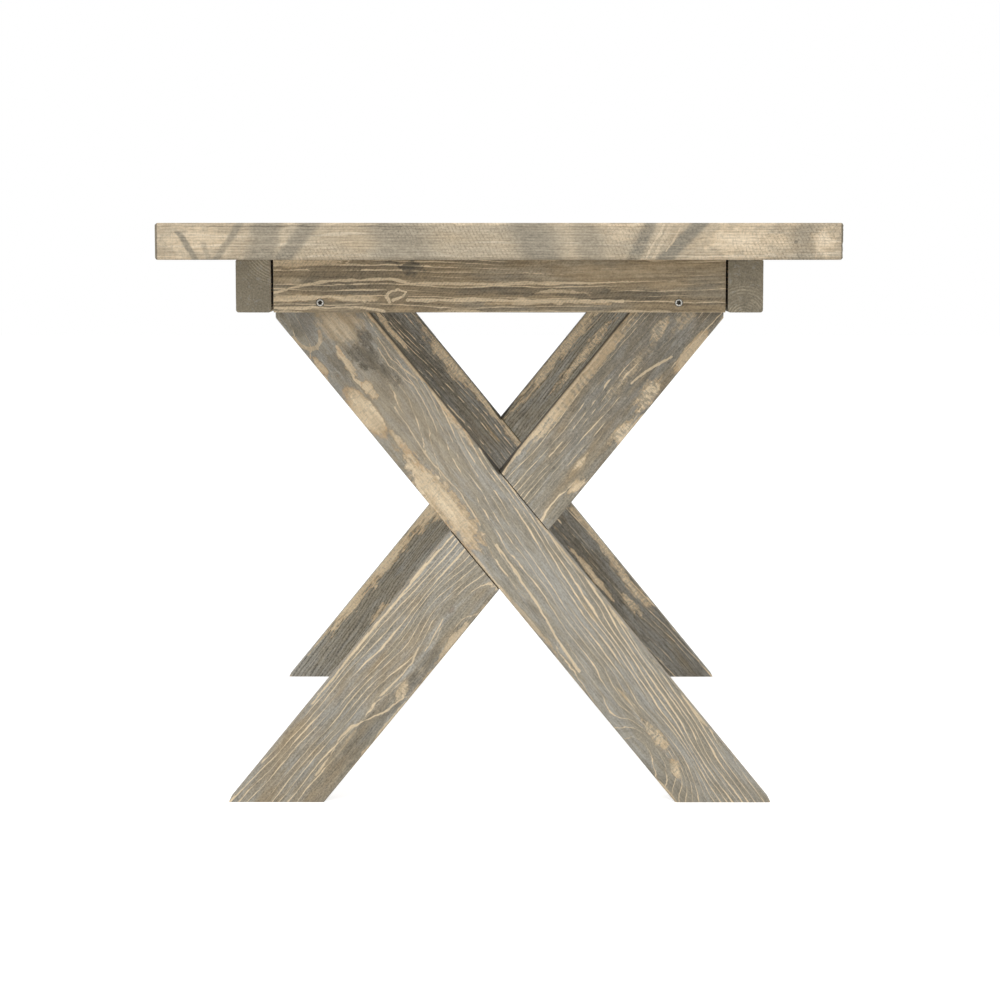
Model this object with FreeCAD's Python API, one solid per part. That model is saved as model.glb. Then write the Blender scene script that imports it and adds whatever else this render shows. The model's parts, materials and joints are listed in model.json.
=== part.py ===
"""Sawbuck dining table: a plank top on two half-lapped X frames. Millimetres.

X runs across the table, Y along it and Z up. The origin is on the floor, under the middle of the top.
The front end is at -Y. The rear frame is the front one turned half round.
"""

import FreeCAD, Part

import math
import os

from FreeCAD import Placement, Rotation, Vector

# Overall
TABLE_HEIGHT = 775.0
TOP_LENGTH = 1400.0
TOP_WIDTH = 850.0

# Top boards
TOP_THICKNESS = 46.0
PLANK_COUNT = 4
PLANK_GAP = 3.0
END_BOARD_WIDTH = 145.0
END_BOARD_GAP = 0.4

# Long rails under the top
RAIL_THICKNESS = 46.0
RAIL_HEIGHT = 70.0
RAIL_CLEAR_SPACING = 593.0
END_OVERHANG = 158.0

# Cross battens under the top, laid flat between the rails
BATTEN_WIDTH = 70.0
BATTEN_THICKNESS = 46.0
BATTEN_SPACING = 420.0
BATTEN_END_GAP = 0.5

# Cleat across the outside of each X frame
CLEAT_THICKNESS = 46.0
CLEAT_HEIGHT = 70.0
CLEAT_END_GAP = 2.5

# Legs
LEG_WIDTH = 100.0
LEG_THICKNESS = 46.0
FOOT_INNER_SPREAD = 472.0
LEG_UPRIGHT_CUT = 79.0
LEG_RAIL_GAP = 1.5
LAP_SHOULDER_GAP = 0.5

# Rounded arrises of the planed timber
ARRIS_RADIUS = 3.0
TOP_ARRIS_RADIUS = 4.0

# Wood screws: flat heads with a six-lobed recess
SCREW_DIAMETER = 5.0
SCREW_HEAD_DIAMETER = 10.0
SCREW_HEAD_RIM = 0.7
SCREW_TIP_LENGTH = 7.0
SCREW_LENGTH = 80.0
LAP_SCREW_LENGTH = 40.0
RAIL_LEG_SCREW_LENGTH = 100.0
RECESS_DIAMETER = 4.5
RECESS_CORE_DIAMETER = 3.2
RECESS_DEPTH = 2.2
RECESS_LOBES = 6
HEAD_SINK = 0.8
SCREW_CLEARANCE = 0.1

# Places of the screws
CLEAT_SCREW_SPACING = 466.0
CLEAT_SCREW_RISE = 13.0
LAP_SCREW_SPACING = 56.0
RAIL_LEG_SCREW_PITCH = 32.0
RAIL_TOP_SCREW_COUNT = 4
RAIL_TOP_SCREW_END_MARGIN = 150.0
RAIL_TOP_COUNTERBORE = 16.0
BATTEN_SCREW_PITCH = 120.0

# Dowels between the planks and the end boards
DOWEL_DIAMETER = 10.0
DOWEL_LENGTH = 80.0
DOWEL_CHAMFER = 1.0
DOWEL_PITCH = 110.0
DOWELS_PER_PLANK = 2
DOWEL_CLEARANCE = 0.1
DOWEL_END_ROOM = 2.0

# Levels and planes that follow from the sizes above
UNDERSIDE = TABLE_HEIGHT - TOP_THICKNESS
TOP_END = TOP_LENGTH / 2
PLANK_END = TOP_END - END_BOARD_WIDTH - END_BOARD_GAP
RAIL_END = TOP_END - END_OVERHANG
RAIL_INSIDE = RAIL_CLEAR_SPACING / 2
RAIL_OUTSIDE = RAIL_INSIDE + RAIL_THICKNESS
RAIL_BOTTOM = UNDERSIDE - RAIL_HEIGHT
CLEAT_BOTTOM = UNDERSIDE - CLEAT_HEIGHT
FRAME_OUTER_FACE = RAIL_END - CLEAT_THICKNESS
FRAME_MIDDLE = FRAME_OUTER_FACE - LEG_THICKNESS / 2
FRAME_INNER_FACE = FRAME_OUTER_FACE - LEG_THICKNESS
LEG_TIP = RAIL_INSIDE - LEG_RAIL_GAP
PLANK_WIDTH = (TOP_WIDTH - (PLANK_COUNT - 1) * PLANK_GAP) / PLANK_COUNT
LEG_SLOPE = math.atan2(UNDERSIDE - LEG_UPRIGHT_CUT, FOOT_INNER_SPREAD / 2 + LEG_TIP)
FOOT_LENGTH = LEG_WIDTH / math.sin(LEG_SLOPE)
CROSSING_HEIGHT = (FOOT_INNER_SPREAD + FOOT_LENGTH) / 2 * math.tan(LEG_SLOPE)
SPARE = 1.0
HALF_TURN = Placement(Vector(), Rotation(Vector(0, 0, 1), 180))


def box(low, high):
    """A plain box between two opposite corners."""
    size = Vector(*high) - Vector(*low)
    return Part.makeBox(size.x, size.y, size.z, Vector(*low))


def eased(solid, radius, along=None):
    """The solid with its straight edges rounded: all of them, or those that run along one direction."""
    edges = solid.Edges
    if along is not None:
        edges = [e for e in edges if abs(e.tangentAt(e.FirstParameter).dot(Vector(*along))) > 0.999]
    return solid.makeFillet(radius, edges)


def half_turned(shape):
    """The same piece on the other X frame."""
    return shape.transformed(HALF_TURN.toMatrix(), True)


def plank_spans():
    """Left and right sides of the planks, which share the width of the top."""
    lefts = [-TOP_WIDTH / 2 + number * (PLANK_WIDTH + PLANK_GAP) for number in range(PLANK_COUNT)]
    return [(left, left + PLANK_WIDTH) for left in lefts]


def top_planks():
    """Long planks that lie side by side between the two end boards."""
    planks = {}
    for number, (left, right) in enumerate(plank_spans(), start=1):
        solid = box((left, -PLANK_END, UNDERSIDE), (right, PLANK_END, TABLE_HEIGHT))
        planks[f"top_plank_{number}"] = eased(solid, ARRIS_RADIUS, along=(0, 1, 0))
    return planks


def end_boards():
    """Boards across both ends of the top, which cover the end grain of the planks."""
    inner_side = -TOP_END + END_BOARD_WIDTH
    solid = box((-TOP_WIDTH / 2, -TOP_END, UNDERSIDE), (TOP_WIDTH / 2, inner_side, TABLE_HEIGHT))
    front = eased(solid, TOP_ARRIS_RADIUS)
    return {"end_board_front": front, "end_board_rear": half_turned(front)}


def long_rails():
    """Two rails on edge under the outer planks. The X frames stand between them."""
    solid = box((RAIL_INSIDE, -RAIL_END, RAIL_BOTTOM), (RAIL_OUTSIDE, RAIL_END, UNDERSIDE))
    right = eased(solid, ARRIS_RADIUS, along=(0, 1, 0))
    return {"long_rail_left": half_turned(right), "long_rail_right": right}


def cross_battens():
    """Two battens laid flat under the top, which hold the planks level with each other."""
    middle = -BATTEN_SPACING / 2
    reach = RAIL_INSIDE - BATTEN_END_GAP
    solid = box(
        (-reach, middle - BATTEN_WIDTH / 2, UNDERSIDE - BATTEN_THICKNESS),
        (reach, middle + BATTEN_WIDTH / 2, UNDERSIDE),
    )
    front = eased(solid, ARRIS_RADIUS, along=(1, 0, 0))
    return {"cross_batten_front": front, "cross_batten_rear": half_turned(front)}


def cleats():
    """A cleat across the outside of each X frame, screwed to the tops of its legs."""
    reach = RAIL_INSIDE - CLEAT_END_GAP
    solid = box((-reach, -RAIL_END, CLEAT_BOTTOM), (reach, -FRAME_OUTER_FACE, UNDERSIDE))
    front = eased(solid, ARRIS_RADIUS, along=(1, 0, 0))
    return {"frame_cleat_front": front, "frame_cleat_rear": half_turned(front)}


def slanting_strip(lean, width, outer_plane, inner_plane, arris=None):
    """A straight strip of timber through the crossing of the front X frame.

    lean is -1 for the leg whose top is at -X and 1 for the one whose top is at +X.
    """
    reach = TABLE_HEIGHT + FOOT_INNER_SPREAD
    strip = box((-reach, outer_plane, -width / 2), (reach, inner_plane, width / 2))
    if arris is not None:
        strip = eased(strip, arris, along=(1, 0, 0))
    turn = Rotation(Vector(0, 1, 0), -lean * math.degrees(LEG_SLOPE))
    strip.Placement = Placement(Vector(0, 0, CROSSING_HEIGHT), turn)
    return strip


def leg(lean, notch_planes):
    """One leg of the front frame, cut level at both ends, upright at the rail, and notched half through."""
    strip = slanting_strip(lean, LEG_WIDTH, -FRAME_OUTER_FACE, -FRAME_INNER_FACE, ARRIS_RADIUS)
    foot = FOOT_INNER_SPREAD / 2 + FOOT_LENGTH
    tip_side, foot_side = sorted((lean * LEG_TIP, -lean * (foot + SPARE)))
    room = box(
        (tip_side, -FRAME_OUTER_FACE - SPARE, 0),
        (foot_side, -FRAME_INNER_FACE + SPARE, UNDERSIDE),
    )
    notch = slanting_strip(-lean, LEG_WIDTH + 2 * LAP_SHOULDER_GAP, *notch_planes)
    return strip.common(room).cut(notch)


def legs():
    """Two X frames of two legs, half-lapped flush where they cross."""
    outer_half = (-FRAME_OUTER_FACE - SPARE, -FRAME_MIDDLE)
    inner_half = (-FRAME_MIDDLE, -FRAME_INNER_FACE + SPARE)
    outer_leg = leg(-1, inner_half)
    inner_leg = leg(1, outer_half)
    return {
        "front_leg_outer_lap": outer_leg,
        "front_leg_inner_lap": inner_leg,
        "rear_leg_outer_lap": half_turned(outer_leg),
        "rear_leg_inner_lap": half_turned(inner_leg),
    }


def turned(profile):
    """A solid of revolution about Z from (radius, height) corners."""
    corners = [Vector(radius, 0, height) for radius, height in profile]
    face = Part.Face(Part.makePolygon(corners + corners[:1]))
    return face.revolve(Vector(), Vector(0, 0, 1), 360)


def screw_profile(length, clearance=0.0, sink=None):
    """Corners of a screw, head on Z = 0 and tip down, or of the hole for it with a mouth above."""
    shank = SCREW_DIAMETER / 2 + clearance
    head = SCREW_HEAD_DIAMETER / 2 + clearance
    rim = -SCREW_HEAD_RIM
    mouth = 0.0 if sink is None else sink + SPARE
    return [
        (0, mouth),
        (head, mouth),
        (head, rim),
        (shank, rim - (head - shank)),
        (shank, -length + SCREW_TIP_LENGTH),
        (0, -length - clearance),
    ]


def drive_recess():
    """The six-lobed pocket in a screw's head."""
    lobe = (RECESS_DIAMETER - RECESS_CORE_DIAMETER) / 2
    ring = RECESS_DIAMETER / 2 - lobe
    bottom = Vector(0, 0, -RECESS_DEPTH)
    pocket = Part.makeCylinder(RECESS_CORE_DIAMETER / 2, RECESS_DEPTH + SPARE, bottom)
    for number in range(RECESS_LOBES):
        turn = 2 * math.pi * number / RECESS_LOBES
        centre = bottom + Vector(ring * math.cos(turn), ring * math.sin(turn), 0)
        pocket = pocket.fuse(Part.makeCylinder(lobe, RECESS_DEPTH + SPARE, centre))
    return pocket


class Screw:
    """A wood screw: where it enters the timber's face, its way in, its length and how deep its head lies."""

    def __init__(self, face_point, way_in, length, sink=HEAD_SINK):
        way = Vector(*way_in)
        self.place = Placement(Vector(*face_point) + way * sink, Rotation(Vector(0, 0, -1), way))
        self.length = length
        self.sink = sink

    def placed(self, shape):
        shape.Placement = self.place
        return shape

    def solid(self):
        return self.placed(turned(screw_profile(self.length)).cut(drive_recess()))

    def hole(self):
        return self.placed(turned(screw_profile(self.length, SCREW_CLEARANCE, self.sink)))

    def on_rear_frame(self):
        """The same screw on the other half of the table."""
        twin = Screw((0, 0, 0), (0, 0, -1), self.length, self.sink)
        twin.place = HALF_TURN.multiply(self.place)
        return twin


def both_ends(screws):
    return screws + [screw.on_rear_frame() for screw in screws]


def cleat_screws():
    """Screws from the outside of each cleat into the tops of the two legs."""
    height = CLEAT_BOTTOM + CLEAT_SCREW_RISE
    places = (-CLEAT_SCREW_SPACING / 2, CLEAT_SCREW_SPACING / 2)
    return both_ends([Screw((x, -RAIL_END, height), (0, 1, 0), SCREW_LENGTH) for x in places])


def lap_screws():
    """Screws through each half lap, from the inner face of the frame."""
    places = (-LAP_SCREW_SPACING / 2, LAP_SCREW_SPACING / 2)
    points = [(x, -FRAME_INNER_FACE, CROSSING_HEIGHT) for x in places]
    return both_ends([Screw(point, (0, -1, 0), LAP_SCREW_LENGTH) for point in points])


def rail_leg_screws():
    """Screws from the outside of the rails into the upright cuts of the legs, two to each leg."""
    middle = RAIL_BOTTOM + RAIL_HEIGHT / 2
    found = []
    for side in (-1, 1):
        for step in (-0.5, 0.5):
            point = (side * RAIL_OUTSIDE, -FRAME_MIDDLE, middle + step * RAIL_LEG_SCREW_PITCH)
            found.append(Screw(point, (-side, 0, 0), RAIL_LEG_SCREW_LENGTH))
    return both_ends(found)


def rail_top_screws():
    """Counterbored screws up through each rail into the outer planks."""
    first = -RAIL_END + RAIL_TOP_SCREW_END_MARGIN
    pitch = -2 * first / (RAIL_TOP_SCREW_COUNT - 1)
    middle = (RAIL_INSIDE + RAIL_OUTSIDE) / 2
    found = []
    for side in (-1, 1):
        for number in range(RAIL_TOP_SCREW_COUNT):
            point = (side * middle, first + number * pitch, RAIL_BOTTOM)
            found.append(Screw(point, (0, 0, 1), SCREW_LENGTH, RAIL_TOP_COUNTERBORE))
    return found


def batten_screws():
    """Screws up through each batten: two into each plank that it crosses whole, one into the others."""
    reach = RAIL_INSIDE - BATTEN_END_GAP
    places = []
    for left, right in plank_spans():
        low = max(left, -reach)
        high = min(right, reach)
        if low >= high:
            continue
        middle = (low + high) / 2
        whole = high - low > PLANK_WIDTH - SPARE
        steps = (-0.5, 0.5) if whole else (0.0,)
        places.extend(middle + step * BATTEN_SCREW_PITCH for step in steps)
    bottom = UNDERSIDE - BATTEN_THICKNESS
    return both_ends([Screw((x, -BATTEN_SPACING / 2, bottom), (0, 0, 1), SCREW_LENGTH) for x in places])


def dowels():
    """Dowels half in a plank's end and half in an end board, with the holes that they sit in."""
    radius = DOWEL_DIAMETER / 2
    half = DOWEL_LENGTH / 2
    profile = [
        (0, -half),
        (radius - DOWEL_CHAMFER, -half),
        (radius, -half + DOWEL_CHAMFER),
        (radius, half - DOWEL_CHAMFER),
        (radius - DOWEL_CHAMFER, half),
        (0, half),
    ]
    hole_radius = radius + DOWEL_CLEARANCE
    hole_reach = half + DOWEL_END_ROOM
    hole_profile = [(0, -hole_reach), (hole_radius, -hole_reach), (hole_radius, hole_reach), (0, hole_reach)]
    lying = Rotation(Vector(1, 0, 0), 90)
    height = UNDERSIDE + TOP_THICKNESS / 2
    pins = []
    holes = []
    for left, right in plank_spans():
        for step in range(DOWELS_PER_PLANK):
            x = (left + right) / 2 + (step - (DOWELS_PER_PLANK - 1) / 2) * DOWEL_PITCH
            for end in (-1, 1):
                place = Placement(Vector(x, end * (PLANK_END + END_BOARD_GAP / 2), height), lying)
                for corners, found in ((profile, pins), (hole_profile, holes)):
                    solid = turned(corners)
                    solid.Placement = place
                    found.append(solid)
    return pins, holes


def drilled(timber, holes):
    """The timber with every hole that reaches it."""
    near = [hole for hole in holes if timber.BoundBox.intersect(hole.BoundBox)]
    return timber.cut(Part.makeCompound(near)) if near else timber


def main():
    timbers = {}
    for group in (top_planks, end_boards, long_rails, cross_battens, cleats, legs):
        timbers.update(group())
    screws = {
        "cleat_screws": cleat_screws(),
        "lap_screws": lap_screws(),
        "rail_leg_screws": rail_leg_screws(),
        "rail_top_screws": rail_top_screws(),
        "batten_screws": batten_screws(),
    }
    pins, dowel_holes = dowels()
    holes = dowel_holes + [screw.hole() for group in screws.values() for screw in group]
    nodes = {name: drilled(timber, holes) for name, timber in timbers.items()}
    for name, group in screws.items():
        nodes[name] = Part.makeCompound([screw.solid() for screw in group])
    nodes["end_board_dowels"] = Part.makeCompound(pins)
    os.makedirs("parts", exist_ok=True)
    for name, shape in nodes.items():
        shape.exportStep(f"parts/{name}.step")
        print(f"{name}: {len(shape.Solids)} solids, {shape.Volume / 1000:.1f} cm3, valid {shape.isValid()}")


main()
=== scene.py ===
"""Sawbuck table in grey-washed timber: boards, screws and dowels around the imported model, and a studio."""

import json
import math
from dataclasses import dataclass, field
from functools import lru_cache

import bmesh
import bpy
from bpy.props import FloatProperty, FloatVectorProperty, IntProperty, PointerProperty
from mathutils import Matrix, Vector

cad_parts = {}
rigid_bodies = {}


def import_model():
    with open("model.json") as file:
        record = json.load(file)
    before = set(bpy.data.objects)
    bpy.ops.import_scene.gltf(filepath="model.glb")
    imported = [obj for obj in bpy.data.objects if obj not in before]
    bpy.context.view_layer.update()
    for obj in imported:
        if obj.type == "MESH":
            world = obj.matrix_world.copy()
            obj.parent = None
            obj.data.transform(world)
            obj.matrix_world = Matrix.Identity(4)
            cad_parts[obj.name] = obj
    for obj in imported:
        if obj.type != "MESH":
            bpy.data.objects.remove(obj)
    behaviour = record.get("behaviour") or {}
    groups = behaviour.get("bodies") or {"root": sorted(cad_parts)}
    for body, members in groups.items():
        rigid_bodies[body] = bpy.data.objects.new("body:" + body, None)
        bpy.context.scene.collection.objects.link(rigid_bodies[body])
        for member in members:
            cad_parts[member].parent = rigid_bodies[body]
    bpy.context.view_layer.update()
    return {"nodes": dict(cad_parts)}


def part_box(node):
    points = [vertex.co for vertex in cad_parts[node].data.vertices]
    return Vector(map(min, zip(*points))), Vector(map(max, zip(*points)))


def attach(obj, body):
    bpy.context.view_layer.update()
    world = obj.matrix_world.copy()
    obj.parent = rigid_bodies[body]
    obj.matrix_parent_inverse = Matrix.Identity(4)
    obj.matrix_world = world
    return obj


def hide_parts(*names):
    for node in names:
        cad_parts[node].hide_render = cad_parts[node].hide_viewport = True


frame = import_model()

bl_info = {
    "name": "Sawbuck Table",
    "version": (1, 0, 0),
    "blender": (4, 5, 0),
    "location": "View3D > Sidebar > Table",
    "description": "Builds a sawbuck table of grey-washed timber around its packed model",
    "category": "Add Mesh",
}

MM = 0.001
FULL_TURN = 2 * math.pi
BODY = "root"
TOP_SLOT = "washed_top_timber"
FRAME_SLOT = "washed_frame_timber"
SCREW_SLOT = "zinc_screw"
DOWEL_SLOT = "beech_dowel"
PLANKS = ("top_plank_1", "top_plank_2", "top_plank_3", "top_plank_4")
SCREW_NODES = ("cleat_screws", "lap_screws", "rail_leg_screws", "rail_top_screws", "batten_screws")
DOWEL_NODE = "end_board_dowels"
WHITE = (1, 1, 1, 1)

# Meshes: cells on each arris, sides of a screw, lobes of its recess, and the angle of a smooth edge
EASE_CELLS = 3
SCREW_SIDES = 24
LOBES = 6
SMOOTH_UNDER = math.radians(38)

# Sockets of a Mix node for colours
MIX_SHARE = 0
MIX_FROM = 6
MIX_TO = 7
MIX_RESULT = 2


def linear(red, green, blue):
    """A colour given in the usual 0 to 255 steps, as the linear values that a shader takes."""
    steps = [step / 255 for step in (red, green, blue)]
    return tuple(s / 12.92 if s <= 0.04045 else ((s + 0.055) / 1.055) ** 2.4 for s in steps)


# Node trees by plain arithmetic

def add_node(tree, kind, values=None, **settings):
    """A new node with its settings, and its inputs linked or set."""
    node = tree.nodes.new(kind)
    for name, value in settings.items():
        setattr(node, name, value)
    for key, value in (values or {}).items():
        if isinstance(value, Term):
            tree.links.new(value.socket, node.inputs[key])
        else:
            node.inputs[key].default_value = value
    return node


def new_term(tree, kind, values=None, output=0, **settings):
    """One output of a new node."""
    return Term(tree, add_node(tree, kind, values, **settings).outputs[output])


class Term:
    """A number or vector in a node tree. Arithmetic on it adds nodes to that tree."""

    def __init__(self, tree, socket):
        self.tree = tree
        self.socket = socket

    def made(self, kind, values, output=0, **settings):
        return new_term(self.tree, kind, values, output, **settings)

    def math(self, operation, *others):
        return self.made("ShaderNodeMath", dict(enumerate((self, *others))), operation=operation)

    def __add__(self, other):
        return self.math("ADD", other)

    __radd__ = __add__

    def __sub__(self, other):
        return self.math("SUBTRACT", other)

    def __rsub__(self, other):
        return self.made("ShaderNodeMath", {0: other, 1: self}, operation="SUBTRACT")

    def __mul__(self, other):
        return self.math("MULTIPLY", other)

    __rmul__ = __mul__

    def __truediv__(self, other):
        return self.math("DIVIDE", other)

    def root(self):
        return self.math("SQRT")

    def size(self):
        return self.math("ABSOLUTE")

    def larger(self, other):
        return self.math("MAXIMUM", other)

    def smaller(self, other):
        return self.math("MINIMUM", other)

    def kept_between(self, low, high):
        return self.larger(low).smaller(high)

    def rise(self, low, high):
        """0 below low, 1 above high and a smooth step between them."""
        values = {"Value": self, "From Min": low, "From Max": high}
        return self.made("ShaderNodeMapRange", values, interpolation_type="SMOOTHSTEP")

    def ramp(self, low, high):
        """0 below low, 1 above high and a straight line between them."""
        return self.made("ShaderNodeMapRange", {"Value": self, "From Min": low, "From Max": high})

    def vector(self, operation, *others, output="Vector"):
        values = dict(enumerate((self, *others)))
        return self.made("ShaderNodeVectorMath", values, output, operation=operation)

    def scaled(self, share):
        """This vector or colour times a number."""
        return self.made("ShaderNodeVectorMath", {0: self, 3: share}, operation="SCALE")

    def parts(self):
        """The three numbers of a vector."""
        node = add_node(self.tree, "ShaderNodeSeparateXYZ", {0: self})
        return [Term(self.tree, output) for output in node.outputs]

    def blended(self, other, share):
        """This colour passing into another one."""
        values = {MIX_FROM: self, MIX_TO: other, MIX_SHARE: share}
        return self.made("ShaderNodeMix", values, MIX_RESULT, data_type="RGBA")


def vector_of(tree, x, y, z):
    return new_term(tree, "ShaderNodeCombineXYZ", {0: x, 1: y, 2: z})


def noise_at(point, detail=2.0, roughness=0.5):
    """Soft noise from 0 to 1 at a vector."""
    values = {"Vector": point, "Scale": 1.0, "Detail": detail, "Roughness": roughness}
    return point.made("ShaderNodeTexNoise", values)


# The boards

@dataclass
class Spot:
    """A place on a board's seen face: its middle and half sizes in millimetres along and across the grain.

    Then its strength, the softness of its edge, how pale and broken it is inside, and how ragged outside.
    """
    along: float
    across: float
    half_length: float
    half_width: float
    strength: float = 1.0
    softness: float = 0.25
    pale: float = 0.6
    broken: float = 0.0
    ragged: float = 1.0


@dataclass
class Stroke:
    """A line on a board's seen face through (along, across) points: half width, strength and tearing."""
    path: list
    half_width: float = 1.2
    strength: float = 0.9
    torn: float = 1.0


@dataclass
class Band:
    """A slanted trace of a branch: where it crosses the middle, lean, half width, strength and softness.

    A trace with a top ends at that height.
    """
    along: float
    lean: float
    half_width: float
    strength: float = 0.7
    softness: float = 0.4
    top: float = 99.0


@dataclass
class Grain:
    """How the rings run through one board, in millimetres from its middle, and how its wash is worn."""
    seed: float
    pith: tuple = (-40.0, -80.0)
    drift: tuple = (0.01, 0.02)
    ring_pitch: float = 4.6
    sway: float = 22.0
    swell: float = 8.0
    wobble: float = 2.0
    line_width: float = 2.6
    line_strength: float = 1.0
    lines_kept: float = 0.6
    dark_lines: float = 0.0
    base_bare: float = 0.0
    sanding: float = 0.0
    arris_wear: float = 5.0
    warmth: float = 0.5
    tone: float = 1.0
    brown: float = 0.0
    # Painted shade on a leg's narrow sides and in the crotch of its half lap
    painted_side_shade: float = 0.0
    warm_rims: float = 0.2
    combed: float = 0.3
    coarse: float = 1.0
    streaky: float = 1.0
    fray: float = 1.0
    # Above 1 it brightens the bare wood as painted light, where a board stands in shade.
    bare_painted_light: float = 1.0
    cream: float = 0.0
    arcs_to: float = 99.0
    saw_marks: float = 0.0
    saw_lean: float = 0.6
    saw_rows: float = 0.0
    dark_ends: float = 0.0
    seen_on_edge: bool = False
    knots: list = field(default_factory=list)
    bulges: list = field(default_factory=list)
    calm: list = field(default_factory=list)
    dashed: list = field(default_factory=list)
    patches: list = field(default_factory=list)
    chatter: list = field(default_factory=list)
    smudges: list = field(default_factory=list)
    bands: list = field(default_factory=list)
    strokes: list = field(default_factory=list)
    dark_strokes: list = field(default_factory=list)


@dataclass
class Timber:
    """One board: its centre, its directions along and across the grain, and its sizes in metres."""
    node: str
    centre: Vector
    along: Vector
    across: Vector
    length: float
    width: float
    thickness: float
    grain: Grain
    slot: str = FRAME_SLOT

    @property
    def through(self):
        return self.along.cross(self.across)

    @property
    def turn(self):
        return Matrix((self.along, self.across, self.through)).transposed()

    @property
    def place(self):
        return Matrix.Translation(self.centre) @ self.turn.to_4x4()


def timber_in_box(node, along, across, slot):
    """A board that fills the box of a CAD node."""
    low, high = (Vector(corner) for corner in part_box(node))
    span = high - low
    along = Vector(along)
    across = Vector(across)
    through = along.cross(across)
    sizes = [abs(span.dot(axis)) for axis in (along, across, through)]
    return Timber(node, (low + high) / 2, along, across, *sizes, GRAINS[node], slot)


# Geometry Nodes: a planed board with worn arrises

def opened_tree(name, inputs):
    """A new tree with its inputs, a kind of socket and a default by name, and the terms of those inputs."""
    tree = bpy.data.node_groups.new(name, "GeometryNodeTree")
    for label, (kind, default) in inputs.items():
        socket = tree.interface.new_socket(label, in_out="INPUT", socket_type="NodeSocket" + kind)
        if default is not None:
            socket.default_value = default
    tree.interface.new_socket("Geometry", in_out="OUTPUT", socket_type="NodeSocketGeometry")
    given = add_node(tree, "NodeGroupInput")
    return tree, {output.name: Term(tree, output) for output in given.outputs if output.name}


def close_tree(tree, geometry, material):
    """Ends a tree: instances are made real, and all of it gets the material."""
    joined = new_term(tree, "GeometryNodeRealizeInstances", {"Geometry": geometry})
    finished = new_term(tree, "GeometryNodeSetMaterial", {"Geometry": joined, "Material": material})
    add_node(tree, "NodeGroupOutput", {0: finished})


def spread(cell, size, arris, cells):
    """Places of grid lines along one side of a board: close together on its two arrises, even between."""
    first = cell.ramp(0.0, EASE_CELLS)
    middle = cell.ramp(EASE_CELLS, cells - EASE_CELLS)
    last = cell.ramp(cells - EASE_CELLS, cells)
    return size * -0.5 + arris * first + (size - 2 * arris) * middle + arris * last


def board_tree():
    """Makes the node tree of one board, lying along X with its width along Y."""
    sides = ("Length", "Width", "Thickness")
    inputs = {side: ("Float", 0.1) for side in sides}
    inputs.update({side + " Cells": ("Int", 12) for side in sides})
    inputs.update({
        "Arris Radius": ("Float", 0.002),
        "End Arris Radius": ("Float", 0.001),
        "Face Unevenness": ("Float", 0.0003),
        "Arris Unevenness": ("Float", 0.0008),
        "Ragged End": ("Float", 0.0),
        "Seed": ("Float", 0.0),
        "Material": ("Material", None),
    })
    tree, asked = opened_tree("planed_board", inputs)
    seed = asked["Seed"]
    sizes = [asked[side] for side in sides]
    counts = [asked[side + " Cells"] for side in sides]
    arrises = [asked["End Arris Radius"], asked["Arris Radius"], asked["Arris Radius"]]

    # Mesh of a unit cube whose grid lines are then spread over the board
    cube_values = {f"Vertices {axis}": count + 1 for axis, count in zip("XYZ", counts)}
    cube_values["Size"] = (1.0, 1.0, 1.0)
    cube = new_term(tree, "GeometryNodeMeshCube", cube_values, "Mesh")
    grid = new_term(tree, "GeometryNodeInputPosition").parts()
    spots = [spread((g + 0.5) * c, s, a, c) for g, s, a, c in zip(grid, sizes, arrises, counts)]

    # Arrises: each point beyond the flat core goes onto a rounded edge
    cores = [spot.larger(s * -0.5 + a).smaller(s * 0.5 - a) for spot, s, a in zip(spots, sizes, arrises)]
    offs = [(spot - core) / a for spot, core, a in zip(spots, cores, arrises)]
    reach = (offs[0] * offs[0] + offs[1] * offs[1] + offs[2] * offs[2]).root()
    outward = [off / reach for off in offs]
    on_arris = (reach - 1.0).kept_between(0.0, 0.4) * 2.5

    # Unevenness: slow waves on the faces, quicker ones on the arrises
    slow = noise_at(vector_of(tree, spots[0] * 6 + seed, spots[1] * 25, spots[2] * 25))
    quick = noise_at(vector_of(tree, spots[0] * 45 + seed, spots[1] * 60, spots[2] * 60), detail=3.0)
    sunk = asked["Face Unevenness"] * slow + asked["Arris Unevenness"] * on_arris * quick.rise(0.35, 0.8)
    shaped = [core + (a - sunk) * out for core, a, out in zip(cores, arrises, outward)]

    # A ragged saw cut on the far end
    end_reach = 16 * MM
    bevel_reach = 12 * MM
    end_zone = spots[0].rise(sizes[0] * 0.5 - end_reach, sizes[0] * 0.5)
    chip_point = vector_of(tree, seed, spots[1] * 120, spots[2] * 130)
    chipped = noise_at(chip_point, detail=4.0, roughness=0.7)
    bevel = 1.0 - spots[1].rise(sizes[1] * -0.5, sizes[1] * -0.5 + bevel_reach)
    chips = chipped.rise(0.3, 0.75) * 0.5 + bevel * chipped.rise(0.2, 0.8)
    shaped[0] = shaped[0] - end_zone * asked["Ragged End"] * chips

    values = {"Geometry": cube, "Position": vector_of(tree, *shaped)}
    close_tree(tree, new_term(tree, "GeometryNodeSetPosition", values), asked["Material"])


def grown(name, tree, inputs, base_mesh=None):
    """The plain mesh that a node tree makes, with its inputs given by name."""
    holder = bpy.data.objects.new(name, base_mesh or bpy.data.meshes.new(name))
    bpy.context.scene.collection.objects.link(holder)
    modifier = holder.modifiers.new("nodes", "NODES")
    modifier.node_group = tree
    for item in tree.interface.items_tree:
        if item.item_type == "SOCKET" and item.in_out == "INPUT" and item.name in inputs:
            modifier[item.identifier] = inputs[item.name]
    evaluated = holder.evaluated_get(bpy.context.evaluated_depsgraph_get())
    mesh = bpy.data.meshes.new_from_object(evaluated)
    bpy.data.objects.remove(holder)
    mesh.name = name
    return mesh


def cells_for(size, arris, spacing):
    return max(1, round((size - 2 * arris) / spacing)) + 2 * EASE_CELLS


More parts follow.
